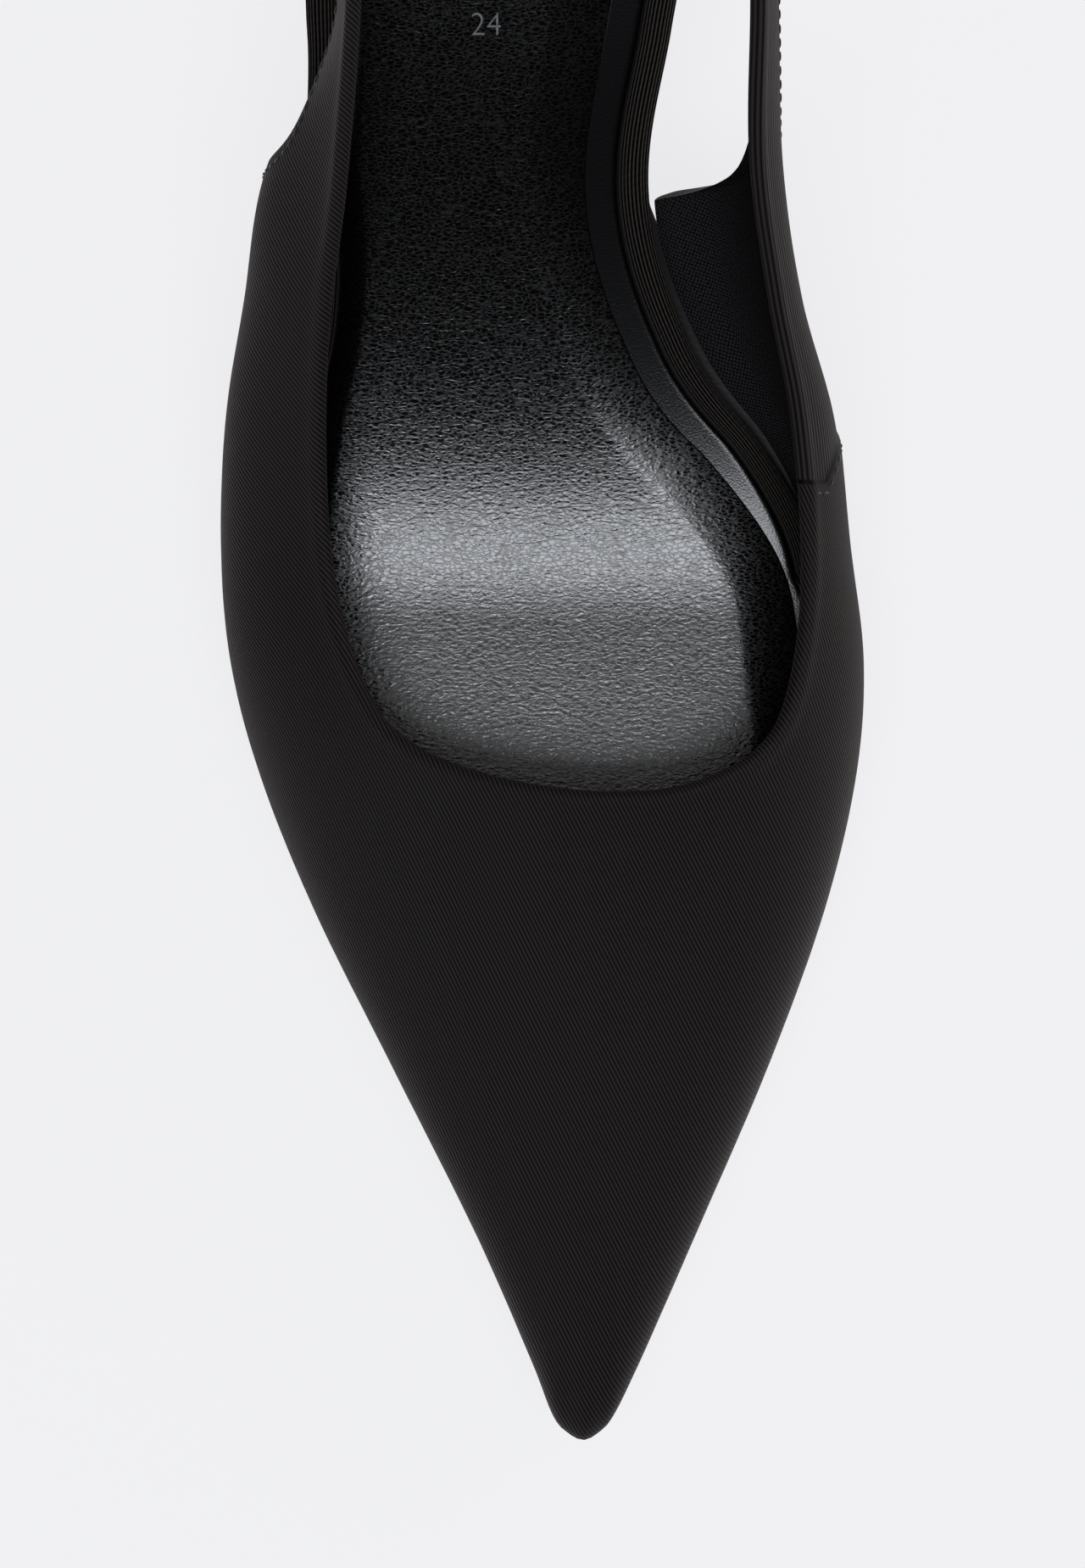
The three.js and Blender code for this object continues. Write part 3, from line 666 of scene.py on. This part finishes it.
def opal_floor(colours):
    """Opal acrylic table lit from below: pale and even, with faint shadows and a matt tooth."""
    material, tree, shader = new_surface("opal_acrylic", {
        "Roughness": 0.9, "Specular IOR Level": 0.0, "Emission Color": list(colours.floor),
        "Emission Strength": 0.9,
    })
    tooth = speckle(tree, 300.0, 2)
    shade = shaded(tree, tooth, colours.floor, 0.145, 0.15)
    tree.links.new(shade, shader.inputs["Base Color"])
    return material


# The upper
def collar_run(u):
    """Distance along the collar edge from the throat, medial side positive."""
    fine = np.linspace(0, LOOP, 2881)
    edge = on_loop(EDGE, fine)
    edge[:, 2] += foot_height(edge[:, 1])
    run = np.concatenate([[0], np.cumsum(np.linalg.norm(np.diff(edge, axis=0), axis=1))])
    return np.interp(u, fine, run) - np.interp(TOE, fine, run)


def even_positions(count):
    """Loop positions spaced evenly along the collar and the lower edge together."""
    fine = np.linspace(0, LOOP, 1441)
    edge = on_loop(EDGE, fine)
    low = wall_point(*lower_edge(fine))
    steps = np.linalg.norm(np.diff(edge, axis=0), axis=1) + np.linalg.norm(np.diff(low, axis=0), axis=1)
    run = np.concatenate([[0], np.cumsum(steps)])
    return np.interp(np.linspace(0, run[-1], count + 1), run, fine)


def to_line(points, line):
    """Signed distance of flat points to a line through points: positive on its left."""
    best = np.full(len(points), 1e9)
    signed = np.zeros(len(points))
    for a, b in zip(line[:-1], line[1:]):
        way = b - a
        t = np.clip(((points - a) @ way) / (way @ way), 0, 1)
        off = points - a - t[:, None] * way
        far = np.linalg.norm(off, axis=1)
        side = np.sign(way[1] * (points[:, 0] - a[0]) - way[0] * (points[:, 1] - a[1]))
        signed = np.where(far < best, far * side, signed)
        best = np.minimum(best, far)
    return signed


SEAM_AT = TOE + 9.48
SEAM_LINE = np.array([(0.0, -4.0), (0.2, 4.0), (5.0, 9.5), (9.0, 20.0), (16.0, 45.0), (20.0, 80.0)])


def seam_distance(u, drop):
    """Distance to the medial seam: negative on the vamp, positive on the quarter."""
    run = collar_run(u)
    line = SEAM_LINE + (collar_run(SEAM_AT), 0.0)
    return to_line(np.column_stack([run, drop]), line)


def wall_rows(outer, low, inner, top):
    """Rows round the wall: share of the drop, and turn from the outside, 0, to the inside, pi."""
    t = np.linspace(0, 1, outer + 1)
    down = t - 0.09 * np.sin(2 * math.pi * t)
    up = np.linspace(1, 0, inner + 1)
    share = [*down, *np.ones(low - 1), *up, *np.zeros(top)]
    turn = [*np.zeros(outer + 1), *(np.arange(1, low) / low * math.pi), *np.full(inner + 1, math.pi),
            *(math.pi - np.arange(1, top + 1) / top * math.pi)]
    return np.array(share), np.array(turn)


class OBJECT_OT_pump_upper(bpy.types.Operator):
    """The faille upper: one wall folded over its lining, with the medial seam"""

    bl_idname = "object.pump_upper"
    bl_label = "Upper"

    def execute(self, context):
        sizes, colours = context.scene.pump_sizes, context.scene.pump_colours
        columns = 620
        shares, turns = wall_rows(46, 6, 18, 8)
        bm = start_mesh("seam")
        verts, along, across = grid(bm, columns, len(shares) - 1)
        column = np.rint(along * columns).astype(int)
        row = np.rint(across * (len(shares) - 1)).astype(int)
        u0 = even_positions(columns)
        low_u, low_drop = lower_edge(u0)
        u0, low_u, low_drop = u0[column], low_u[column], low_drop[column]
        share, turn = shares[row], turns[row]
        station = wall_point(u0 + (low_u - u0) * share, low_drop * share)[:, 1]
        wall = TOE_WALL + (UPPER_WALL - TOE_WALL) * smooth(station, 0, BOARD_START)
        r = wall / 2
        drop = r + (low_drop - 2 * r) * share + (2 * share - 1) * r * np.sin(turn)
        u = u0 + (low_u - u0) * drop / low_drop
        cloth_drop = r + (low_drop - 2 * r) * share + (2 * share - 1) * r * turn
        seam = np.where(u > TOE, seam_distance(u, np.where(turn < 3, cloth_drop, drop)), -99.0)
        outside = np.cos(turn / 2) ** 2
        lap = sizes.seam_lap / MM * (1 - smooth(seam, -0.5, 0.3)) * np.exp(-np.abs(seam) / 12)
        fold = FOLD_DEPTH * np.exp(-((drop - FOLD_DROP) / FOLD_REACH) ** 2)
        inward = wall_inward(u, drop)
        points = wall_point(u, drop) + inward * (r * (1 - np.cos(turn)) - (lap + fold) * outside)[:, None]
        row_past = np.abs(u0 - TOE) - QUARTER_END_ROW
        corner = (u0 > TOE) * np.exp(-(row_past / CORNER_ROWS) ** 2)
        reach = FOOT_REACH + CORNER_REACH * corner
        lasted = (1 - smooth(row_past, CORNER_START, 1)) * (1 + CORNER_GAIN * corner)
        lasted *= smooth(drop, low_drop - reach, low_drop - r)
        foot = LASTING_FOOT * lasted * (turn / math.pi)
        foot *= smooth(station, RIM_FRONT - BOARD_TAPER, RIM_FRONT)
        points[:, :2] += bottom_edge(u, foot) - bottom_edge(u)
        put(verts, to_frame(points))
        top = on_loop(EDGE, u)[:, :2]
        outward = on_loop(OUTER, u)[:, :2] - top
        outward /= np.linalg.norm(outward, axis=1, keepdims=True)
        bias = (u < TOE) * smooth(top[:, 1], CLOTH_TURN_START, CLOTH_TURN_END)
        cloth = top + outward * (cloth_drop * (1 - 0.2 * bias))[:, None]
        gone = np.logaddexp(0, (top[:, 1] - CLOTH_TURN) / CLOTH_TURN_WIDTH) * CLOTH_TURN_WIDTH
        cloth[:, 1] += (u < TOE) * 0.6 * gone
        map_faces(bm, "cloth", bm.faces, verts, cloth)
        map_faces(bm, "run", bm.faces, verts, np.column_stack([collar_run(u), cloth_drop]))
        layer = bm.verts.layers.float["seam"]
        for vert, value in zip(verts, seam):
            vert[layer] = value
        inner = {vert for vert, angle in zip(verts, turn) if angle > 2.2}
        for face in bm.faces:
            face.material_index = int(all(v in inner for v in face.verts))
        bmesh.ops.remove_doubles(bm, verts=bm.verts, dist=1e-6)
        face_out(bm)
        make_piece(bm, "faille_upper",
                   [black_faille(sizes, colours, "silk_faille", quarter=True), knitted_lining(colours)],
                   ["upper"])
        return {"FINISHED"}


# Bottom parts
def flat_piece(bm, stations, insets_at, heights, edge, across=48):
    """A plate with rounded edges over the given stations. heights gives its low and high for
    the station, the share across and the distance from the outline."""
    outline_left, outline_right = breadth_at(stations, insets_at(stations))
    outline = np.vstack([np.column_stack([outline_left, stations]),
                         np.column_stack([outline_right, stations])[::-1]])
    outline = np.vstack([outline, outline[:1]])
    sheets = []
    for high in (True, False):
        before = set(bm.faces)
        verts, along, share = grid(bm, len(stations) - 1, across)
        column = np.rint(along * (len(stations) - 1)).astype(int)
        share = (1 - np.cos(math.pi * share)) / 2
        x = outline_left[column] + (outline_right - outline_left)[column] * share
        y = stations[column]
        far = np.full(len(x), 1e9)
        for a, b in zip(outline[:-1], outline[1:]):
            way = b - a
            if way @ way < 1e-12:
                continue
            t = np.clip(((x - a[0]) * way[0] + (y - a[1]) * way[1]) / (way @ way), 0, 1)
            far = np.minimum(far, np.hypot(x - a[0] - t * way[0], y - a[1] - t * way[1]))
        low_z, high_z = heights(y, share, far)
        radius = np.minimum(edge, (high_z - low_z) * 0.499)
        near = 1 - np.clip(far / np.maximum(radius, 1e-6), 0, 1)
        roll = radius * (1 - np.sqrt(1 - near**2))
        z = high_z - roll if high else low_z + roll
        put(verts, to_frame(np.column_stack([x, y, z])))
        faces = [f for f in bm.faces if f not in before]
        map_faces(bm, "run", faces, verts, np.column_stack([x, y]))
        if not high:
            bmesh.ops.reverse_faces(bm, faces=faces)
        sheets.append(faces)
    rims = [[e for e in {e for f in faces for e in f.edges} if e.is_boundary] for faces in sheets]
    bmesh.ops.bridge_loops(bm, edges=rims[0] + rims[1])
    bmesh.ops.remove_doubles(bm, verts=bm.verts, dist=2e-6)
    face_out(bm)


def eased(start, end, count, ends="both"):
    """Stations from start to end, closer together at a rounded end."""
    t = np.linspace(0, 1, count + 1)
    share = {"both": (1 - np.cos(math.pi * t)) / 2, "end": np.sin(math.pi / 2 * t),
             "start": 1 - np.cos(math.pi / 2 * t), "none": t}[ends]
    return start + (end - start) * share


def sock_top(station, share):
    """Height of the padded sock's top, crowned across."""
    base = foot_height(station) + BOARD_THICKNESS + GAP + SOCK_THICKNESS
    return base + SOCK_CROWN * (1 - (2 * share - 1) ** 4)


class OBJECT_OT_pump_sock(bpy.types.Operator):
    """The padded sock of grained leather that lines the foot bed"""

    bl_idname = "object.pump_sock"
    bl_label = "Padded sock"

    def execute(self, context):
        sizes, colours = context.scene.pump_sizes, context.scene.pump_colours
        end = SEAT_BACK - RIM_INSET - RIM_WIDTH - GAP
        stations = np.concatenate([eased(SOCK_START, 80, 40, "start")[:-1], eased(80, 200, 120, "none")[:-1],
                                   eased(200, end, 50, "end")])
        medial, lateral, fall = sizes.sock_roll / MM, sizes.lateral_roll / MM, sizes.sock_fall / MM

        def heights(station, share, far):
            roll = lateral + (medial - lateral) * smooth(share, 0.3, 0.7)
            near = 1 - np.clip(far / roll, 0, 1)
            low = foot_height(station) + BOARD_THICKNESS + 0.05
            return low, sock_top(station, share) - fall * near ** 1.2

        bm = bmesh.new()
        flat_piece(bm, stations, sock_insets, heights, 0.3, across=110)
        sock = make_piece(bm, "padded_sock", [grained_leather(sizes, colours)], ["sock"])
        return {"FINISHED"}


class OBJECT_OT_pump_board(bpy.types.Operator):
    """The insole board under the sock, covered in smooth leather"""

    bl_idname = "object.pump_board"
    bl_label = "Insole board"

    def execute(self, context):
        colours = context.scene.pump_colours
        end = SEAT_BACK - RIM_INSET - RIM_WIDTH - GAP
        stations = np.concatenate([eased(BOARD_START, RIM_FRONT - BOARD_TAPER, 50, "start")[:-1],
                                   eased(RIM_FRONT - BOARD_TAPER, RIM_FRONT, 10, "none")[:-1],
                                   eased(RIM_FRONT, WAIST_END, 70, "none")[:-1],
                                   eased(WAIST_END, end, 40, "end")])
        bm = bmesh.new()

        def heights(station, share, far):
            return foot_height(station), foot_height(station) + BOARD_THICKNESS

        flat_piece(bm, stations, board_insets, heights, 0.7)
        make_piece(bm, "insole_board_cover", [smooth_leather(colours)], ["insole_board"])
        return {"FINISHED"}


class OBJECT_OT_pump_outsole(bpy.types.Operator):
    """The thin moulded outsole, from the toe to the heel's breast"""

    bl_idname = "object.pump_outsole"
    bl_label = "Outsole"

    def execute(self, context):
        colours = context.scene.pump_colours
        tip = LAST[0, 3] * BALL_BREADTH - SOLE_EDGE + 0.05
        stations = np.concatenate([eased(tip, TREAD_START, 60, "start")[:-1],
                                   eased(TREAD_START, BREAST, 90, "none")])

        def heights(station, share, far):
            top = foot_height(station) - GAP
            thinner = (WAIST_SOLE_THICKNESS - SOLE_THICKNESS) * smooth(station, TREAD_END, WAIST_END)
            return top - SOLE_THICKNESS - thinner, top

        bm = bmesh.new()
        flat_piece(bm, stations, sole_insets, heights, 0.5)
        make_piece(bm, "rubber_outsole", [moulded_rubber(colours, "moulded_rubber", 0.55)],
                   ["outsole"])
        return {"FINISHED"}


class OBJECT_OT_pump_rim(bpy.types.Operator):
    """The ribbed band that binds the board's edge from the forefoot round the seat"""

    bl_idname = "object.pump_rim"
    bl_label = "Ribbed rim"

    def execute(self, context):
        sizes, colours = context.scene.pump_sizes, context.scene.pump_colours
        columns, top_ribs, side_ribs = 560, 9, 6
        start = edge_position(np.array([RIM_FRONT]), 0, RIM_INSET)[0]
        end = edge_position(np.array([RIM_FRONT]), LOOP, RIM_INSET)[0] - LOOP
        corners = np.array([(0, 0), (0, 0.78), (0.25, 1.0), (0.75, 1.0), (1, 0.86), (1, 0)])
        lengths = np.array([0, 0.78, 1.14, 1.64, 1.95, 2.81])
        steps = 6 * (top_ribs + 2 * side_ribs)
        walk = np.linspace(0, lengths[-1], steps + 1)
        inset = np.interp(walk, lengths, corners[:, 0])
        lift = np.interp(walk, lengths, corners[:, 1])
        for _ in range(6):
            inset[1:-1] = (inset[:-2] + inset[1:-1] * 2 + inset[2:]) / 4
            lift[1:-1] = (lift[:-2] + lift[1:-1] * 2 + lift[2:]) / 4
        wave = np.abs(np.sin(math.pi * (top_ribs + 2 * side_ribs) * walk / lengths[-1]))
        inset, lift, wave = (np.append(line, line[0]) for line in (inset, lift, wave))
        bm = start_mesh("rib")
        verts, along, across = grid(bm, columns, len(inset) - 1)
        row = np.rint(across * (len(inset) - 1)).astype(int)
        u = end + (start - end) * along
        width = rim_width(bottom_edge(u, RIM_INSET)[:, 1])
        out = np.stack([inset[row] - 0.5, lift[row] - 0.5], -1)
        out /= np.linalg.norm(out, axis=1, keepdims=True)
        relief = sizes.band_rib / MM * (wave[row] - 1)
        across_mm = RIM_INSET + inset[row] * width + out[:, 0] * relief
        plan = bottom_edge(u, across_mm)
        crown = RIM_CROWN * smooth(lift[row], 0.8, 1.0)
        z = foot_height(plan[:, 1]) + lift[row] * RIM_HEIGHT + crown + out[:, 1] * relief * (lift[row] > 0.05)
        put(verts, to_frame(np.column_stack([plan, z])))
        centre = bottom_edge(end + (start - end) * np.linspace(0, 1, columns + 1), RIM_INSET + 1.5)
        gone = np.concatenate([[0], np.cumsum(np.linalg.norm(np.diff(centre, axis=0), axis=1))])
        run = gone[np.rint(along * columns).astype(int)]
        map_faces(bm, "run", bm.faces, verts, np.column_stack([run, walk[np.minimum(row, steps)] * 3]))
        layer = bm.verts.layers.float["rib"]
        for vert, value in zip(verts, wave[row]):
            vert[layer] = value
        bmesh.ops.remove_doubles(bm, verts=bm.verts, dist=1e-6)
        bmesh.ops.holes_fill(bm, edges=[e for e in bm.edges if e.is_boundary], sides=0)
        face_out(bm)
        make_piece(bm, "ribbed_rim", [ribbed_band(sizes, colours)], ["insole_rim"])
        return {"FINISHED"}


# Heel
def heel_outline(place, count):
    """A D-shaped outline, flat at the breast and round at the back, evenly spaced."""
    turn = np.linspace(0, math.pi / 2, 60)
    lateral = place(0, turn)
    medial = place(1, turn)[::-1]
    loop = np.vstack([lateral, medial[1:], lateral[:1]])
    gone = np.concatenate([[0], np.cumsum(np.linalg.norm(np.diff(loop, axis=0), axis=1))])
    even = np.linspace(0, gone[-1], count + 1)
    return np.column_stack([np.interp(even, gone, loop[:, k]) for k in (0, 1)])[:-1]


def seat_place(side, turn):
    front, back = BREAST + GAP, SEAT_BACK - SEAT_EDGE_INSET
    station = front + (back - front) * np.sin(turn)
    return np.column_stack([breadth_at(station, 2 * [SEAT_EDGE_INSET])[side], station])


def top_piece_place(side, turn):
    centre = LAST[-1, 1] * BALL_BREADTH
    front = SEAT_BACK - TOP_PIECE_SETBACK - TOP_PIECE_LENGTH
    half = TOP_PIECE_WIDTH / 2 * np.clip(np.cos(turn), 0, 1) ** 0.8
    return np.column_stack([centre + (half if side else -half), front + TOP_PIECE_LENGTH * np.sin(turn)])


def rounded(outline, times):
    for _ in range(times):
        outline = (np.roll(outline, 1, 0) + 2 * outline + np.roll(outline, -1, 0)) / 4
    return outline


class OBJECT_OT_pump_heel(bpy.types.Operator):
    """The slim heel, covered in the upper's faille, with its top piece"""

    bl_idname = "object.pump_heel"
    bl_label = "Heel"

    def execute(self, context):
        sizes, colours = context.scene.pump_sizes, context.scene.pump_colours
        around, levels = 180, 90
        seat = rounded(heel_outline(seat_place, around), 5)
        foot = rounded(heel_outline(top_piece_place, around), 5)
        bottom = TOP_PIECE_HEIGHT + GAP
        bm = bmesh.new()
        verts, along, across = grid(bm, around, levels)
        i = np.rint(along * around).astype(int) % around
        k = across
        pinch = (1 - (1 - np.clip((k - HEEL_LIP) / (1 - HEEL_LIP), 0, None)) ** HEEL_WAIST)[:, None]
        plan = seat[i] * (1 - pinch) + foot[i] * pinch
        high = foot_height(seat[i][:, 1]) - GAP
        z = high + (bottom - high) * k
        put(verts, to_frame(np.column_stack([plan, z])))
        gone = np.concatenate([[0], np.cumsum(np.linalg.norm(np.diff(seat, axis=0), axis=1))])
        turned = np.append(gone, gone[-1] + 1)[np.rint(along * around).astype(int)] * 0.55
        map_faces(bm, "cloth", bm.faces, verts, np.column_stack([turned, -z]))
        bmesh.ops.remove_doubles(bm, verts=bm.verts, dist=1e-6)
        rims = [e for e in bm.edges if e.is_boundary]
        bmesh.ops.holes_fill(bm, edges=rims, sides=0)
        face_out(bm)
        bmesh.ops.bevel(bm, geom=rims, offset=0.25 * MM, segments=2, profile=0.5, affect="EDGES", material=-1)
        make_piece(bm, "covered_heel",
                   [black_faille(sizes, colours, "silk_faille_heel")], ["heel"])

        bm = bmesh.new()
        ring = [bm.verts.new(p) for p in to_frame(np.column_stack([foot, np.zeros(around)]))]
        face = bm.faces.new(ring)
        grown = bmesh.ops.extrude_face_region(bm, geom=[face])["geom"]
        lifted = [g for g in grown if isinstance(g, bmesh.types.BMVert)]
        bmesh.ops.translate(bm, verts=lifted, vec=(0, 0, TOP_PIECE_HEIGHT * MM))
        bmesh.ops.recalc_face_normals(bm, faces=bm.faces)
        rims = [e for e in bm.edges if abs(e.verts[0].co.z - e.verts[1].co.z) < 1e-7]
        bmesh.ops.bevel(bm, geom=rims, offset=0.35 * MM, segments=3, profile=0.5, affect="EDGES", material=-1)
        make_piece(bm, "heel_top_piece",
                   [moulded_rubber(colours, "top_piece_rubber", 0.6)], ["top_piece"])
        return {"FINISHED"}


# Thread and print
def sew(bm, places, tangents, normals, sizes):
    """Lays one small flattened bead of thread at each place."""
    half, thick = sizes.stitch_length / 2, sizes.thread / 2
    for place, along, up in zip(places, tangents, normals):
        along, up = Vector(along).normalized(), Vector(up).normalized()
        side = up.cross(along).normalized()
        turn = Matrix((along * half, side * thick, along.cross(side) * thick)).transposed().to_4x4()
        bmesh.ops.create_uvsphere(bm, u_segments=8, v_segments=6, radius=1.0,
                                  matrix=Matrix.Translation(Vector(place)) @ turn)


def stitch_line(points, pitch):
    """Evenly spaced places along a line of points, with their indices as floats."""
    gone = np.concatenate([[0], np.cumsum(np.linalg.norm(np.diff(points, axis=0), axis=1))])
    count = int(gone[-1] / pitch)
    return np.interp(np.linspace(pitch / 2, gone[-1] - pitch / 2, count), gone, np.arange(len(points)))


class OBJECT_OT_pump_stitches(bpy.types.Operator):
    """Stitches along the strap's lower edge, the hollow cuts and the medial seam"""

    bl_idname = "object.pump_stitches"
    bl_label = "Stitches"

    def execute(self, context):
        sizes, colours = context.scene.pump_sizes, context.scene.pump_colours
        bm = bmesh.new()
        pitch = sizes.stitch_pitch / MM
        margin = sizes.edge_margin / MM
        for start, end in ((0, TOE - QUARTER_END_ROW), (TOE + QUARTER_END_ROW, LOOP)):
            u = np.linspace(start, end, 900)
            low, drop = lower_edge(u)
            edge = wall_point(low, drop)
            way = np.gradient(edge, axis=0)
            way /= np.linalg.norm(way, axis=1, keepdims=True)
            inward = wall_inward(low, drop - margin)
            up = np.cross(inward, way)
            inner = wall_point(low + 0.3 * np.sign(TOE - low), drop - 2)
            up *= np.sign((up * (inner - edge)).sum(1))[:, None]
            line = edge + up * margin - inward * 0.08
            at = stitch_line(line, pitch)
            pick = np.rint(at).astype(int)
            sew(bm, to_frame(line[pick]), way[pick], -inward[pick], sizes)
        run = collar_run(np.linspace(TOE, LOOP, 1500))
        line = SEAM_LINE + (collar_run(SEAM_AT) - 1.3, 0.0)
        walk = np.concatenate([[0], np.cumsum(np.linalg.norm(np.diff(line, axis=0), axis=1))])
        flat = np.column_stack([np.interp(np.arange(5, walk[-1], 0.25), walk, line[:, k]) for k in (0, 1)])
        u = np.interp(flat[:, 0], run, np.linspace(TOE, LOOP, 1500))
        keep = flat[:, 1] < rib(u)[1][:, -1] - 3
        u, drop = u[keep], flat[keep][:, 1]
        inward = wall_inward(u, drop)
        line = wall_point(u, drop) - inward * (sizes.seam_lap / MM * 0.9 + 0.02)
        way = np.gradient(line, axis=0)
        pick = np.rint(stitch_line(line, pitch)).astype(int)
        sew(bm, to_frame(line[pick]), way[pick], -inward[pick], sizes)
        make_piece(bm, "thread_stitches", [polyester_thread(colours)])
        return {"FINISHED"}


class OBJECT_OT_pump_mark(bpy.types.Operator):
    """The plain number pressed on the sock's seat"""

    bl_idname = "object.pump_mark"
    bl_label = "Number"

    def execute(self, context):
        sizes, colours = context.scene.pump_sizes, context.scene.pump_colours
        curve = bpy.data.curves.new("number", "FONT")
        curve.body = context.scene.pump_mark
        curve.size = sizes.mark_height / 0.7
        curve.align_x = curve.align_y = "CENTER"
        curve.offset = -0.06 * MM
        text = bpy.data.objects.new("number", curve)
        context.scene.collection.objects.link(text)
        context.view_layer.update()
        mesh = bpy.data.meshes.new_from_object(text)
        bpy.data.objects.remove(text)
        bm = bmesh.new()
        bm.from_mesh(mesh)
        bmesh.ops.triangulate(bm, faces=bm.faces)
        bmesh.ops.subdivide_edges(bm, edges=bm.edges, cuts=2, use_grid_fill=True)
        flat = np.array([v.co[:] for v in bm.verts]) / MM
        station = MARK_STATION + flat[:, 1]
        x = MARK_X + flat[:, 0]
        left, right = breadth_at(station, sock_insets(station))
        z = sock_top(station, (x - left) / (right - left)) + 0.03
        put(bm.verts, to_frame(np.column_stack([x, station, z])))
        make_piece(bm, "number_mark", [foil_print(colours)])
        return {"FINISHED"}


# Stage
def softbox(name, towards, distance, size, radiance, tint):
    """An area light of a given radiance, aimed at the shoe from a direction."""
    data = bpy.data.lights.new(name, "AREA")
    data.shape = "RECTANGLE"
    data.size, data.size_y = size
    data.energy = radiance * math.pi * size[0] * size[1]
    data.color = linear(tint)
    lamp = bpy.data.objects.new(name, data)
    way = Vector(towards).normalized()
    lamp.location = way * distance
    lamp.rotation_mode = "QUATERNION"
    lamp.rotation_quaternion = way.to_track_quat("Z", "Y")
    lamp.visible_camera = False
    bpy.context.scene.collection.objects.link(lamp)
    return lamp


class OBJECT_OT_pump_stage(bpy.types.Operator):
    """The pale floor, the soft lights and the camera straight above the forefoot"""

    bl_idname = "object.pump_stage"
    bl_label = "Stage"

    def execute(self, context):
        colours = context.scene.pump_colours
        bm = bmesh.new()
        bmesh.ops.create_grid(bm, x_segments=1, y_segments=1, size=6.0)
        mesh = bpy.data.meshes.new("floor")
        bm.to_mesh(mesh)
        bm.free()
        mesh.materials.append(opal_floor(colours))
        floor = bpy.data.objects.new("floor", mesh)
        context.scene.collection.objects.link(floor)

        world = bpy.data.worlds.new("studio")
        world.use_nodes = True
        tree = world.node_tree
        tree.nodes.clear()
        path = add(tree, "LightPath")
        dim = add(tree, "Background", {"Color": linear("#F4F4F8"), "Strength": 0.01})
        pale = add(tree, "Background", {"Color": linear("#F1F1F3"), "Strength": 1.0})
        mixed = add(tree, "MixShader", {0: path.outputs["Is Camera Ray"], 1: dim, 2: pale})
        add(tree, "OutputWorld", {"Surface": mixed})
        context.scene.world = world
        context.scene.view_settings.view_transform = "Standard"

        tilt = math.radians(17.5)
        softbox("toe_box", (0, -math.sin(tilt), math.cos(tilt)), 2.2, (1.45, 0.8), 7.4, "#F4F8FF")
        softbox("top_box", (0, 0.05, 1), 2.4, (2.2, 1.8), 0.65, "#FDFDFF")
        softbox("medial_box", (1, 0.5, 0.4), 2.0, (1.2, 1.2), 2.2, "#FFF2EA")

        camera = bpy.data.objects.new("camera", bpy.data.cameras.new("camera"))
        camera.data.sensor_width = SENSOR
        camera.data.lens = SENSOR * FOCAL_PIXELS / PHOTO_HEIGHT
        camera.location = (0.0, CAMERA_Y * MM, CAMERA_HEIGHT)
        camera.data.clip_start = 0.05
        context.scene.collection.objects.link(camera)
        context.scene.camera = camera
        return {"FINISHED"}


STEPS = (
    OBJECT_OT_pump_stage,
    OBJECT_OT_pump_upper,
    OBJECT_OT_pump_sock,
    OBJECT_OT_pump_board,
    OBJECT_OT_pump_outsole,
    OBJECT_OT_pump_rim,
    OBJECT_OT_pump_heel,
    OBJECT_OT_pump_stitches,
    OBJECT_OT_pump_mark,
)


class VIEW3D_PT_pump(bpy.types.Panel):
    """Lists the pump's sizes, colours and pieces"""

    bl_label = "Pump"
    bl_space_type = "VIEW_3D"
    bl_region_type = "UI"
    bl_category = "Pump"

    def draw(self, context):
        for group in (context.scene.pump_sizes, context.scene.pump_colours):
            for key in group.__annotations__:
                self.layout.prop(group, key)
        self.layout.prop(context.scene, "pump_mark")
        for step in STEPS:
            self.layout.operator(step.bl_idname)


CLASSES = (PumpSizes, PumpColours, *STEPS, VIEW3D_PT_pump)


def register():
    for item in CLASSES:
        bpy.utils.register_class(item)
    bpy.types.Scene.pump_sizes = PointerProperty(type=PumpSizes)
    bpy.types.Scene.pump_colours = PointerProperty(type=PumpColours)
    bpy.types.Scene.pump_mark = StringProperty(name="Number", description="Number pressed on the sock",
                                               default="24")


def unregister():
    del bpy.types.Scene.pump_mark
    del bpy.types.Scene.pump_colours
    del bpy.types.Scene.pump_sizes
    for item in reversed(CLASSES):
        bpy.utils.unregister_class(item)


def main():
    register()
    for step in STEPS:
        group, name = step.bl_idname.split(".")
        getattr(getattr(bpy.ops, group), name)()
    bpy.context.view_layer.update()


if __name__ == "__main__":
    main()
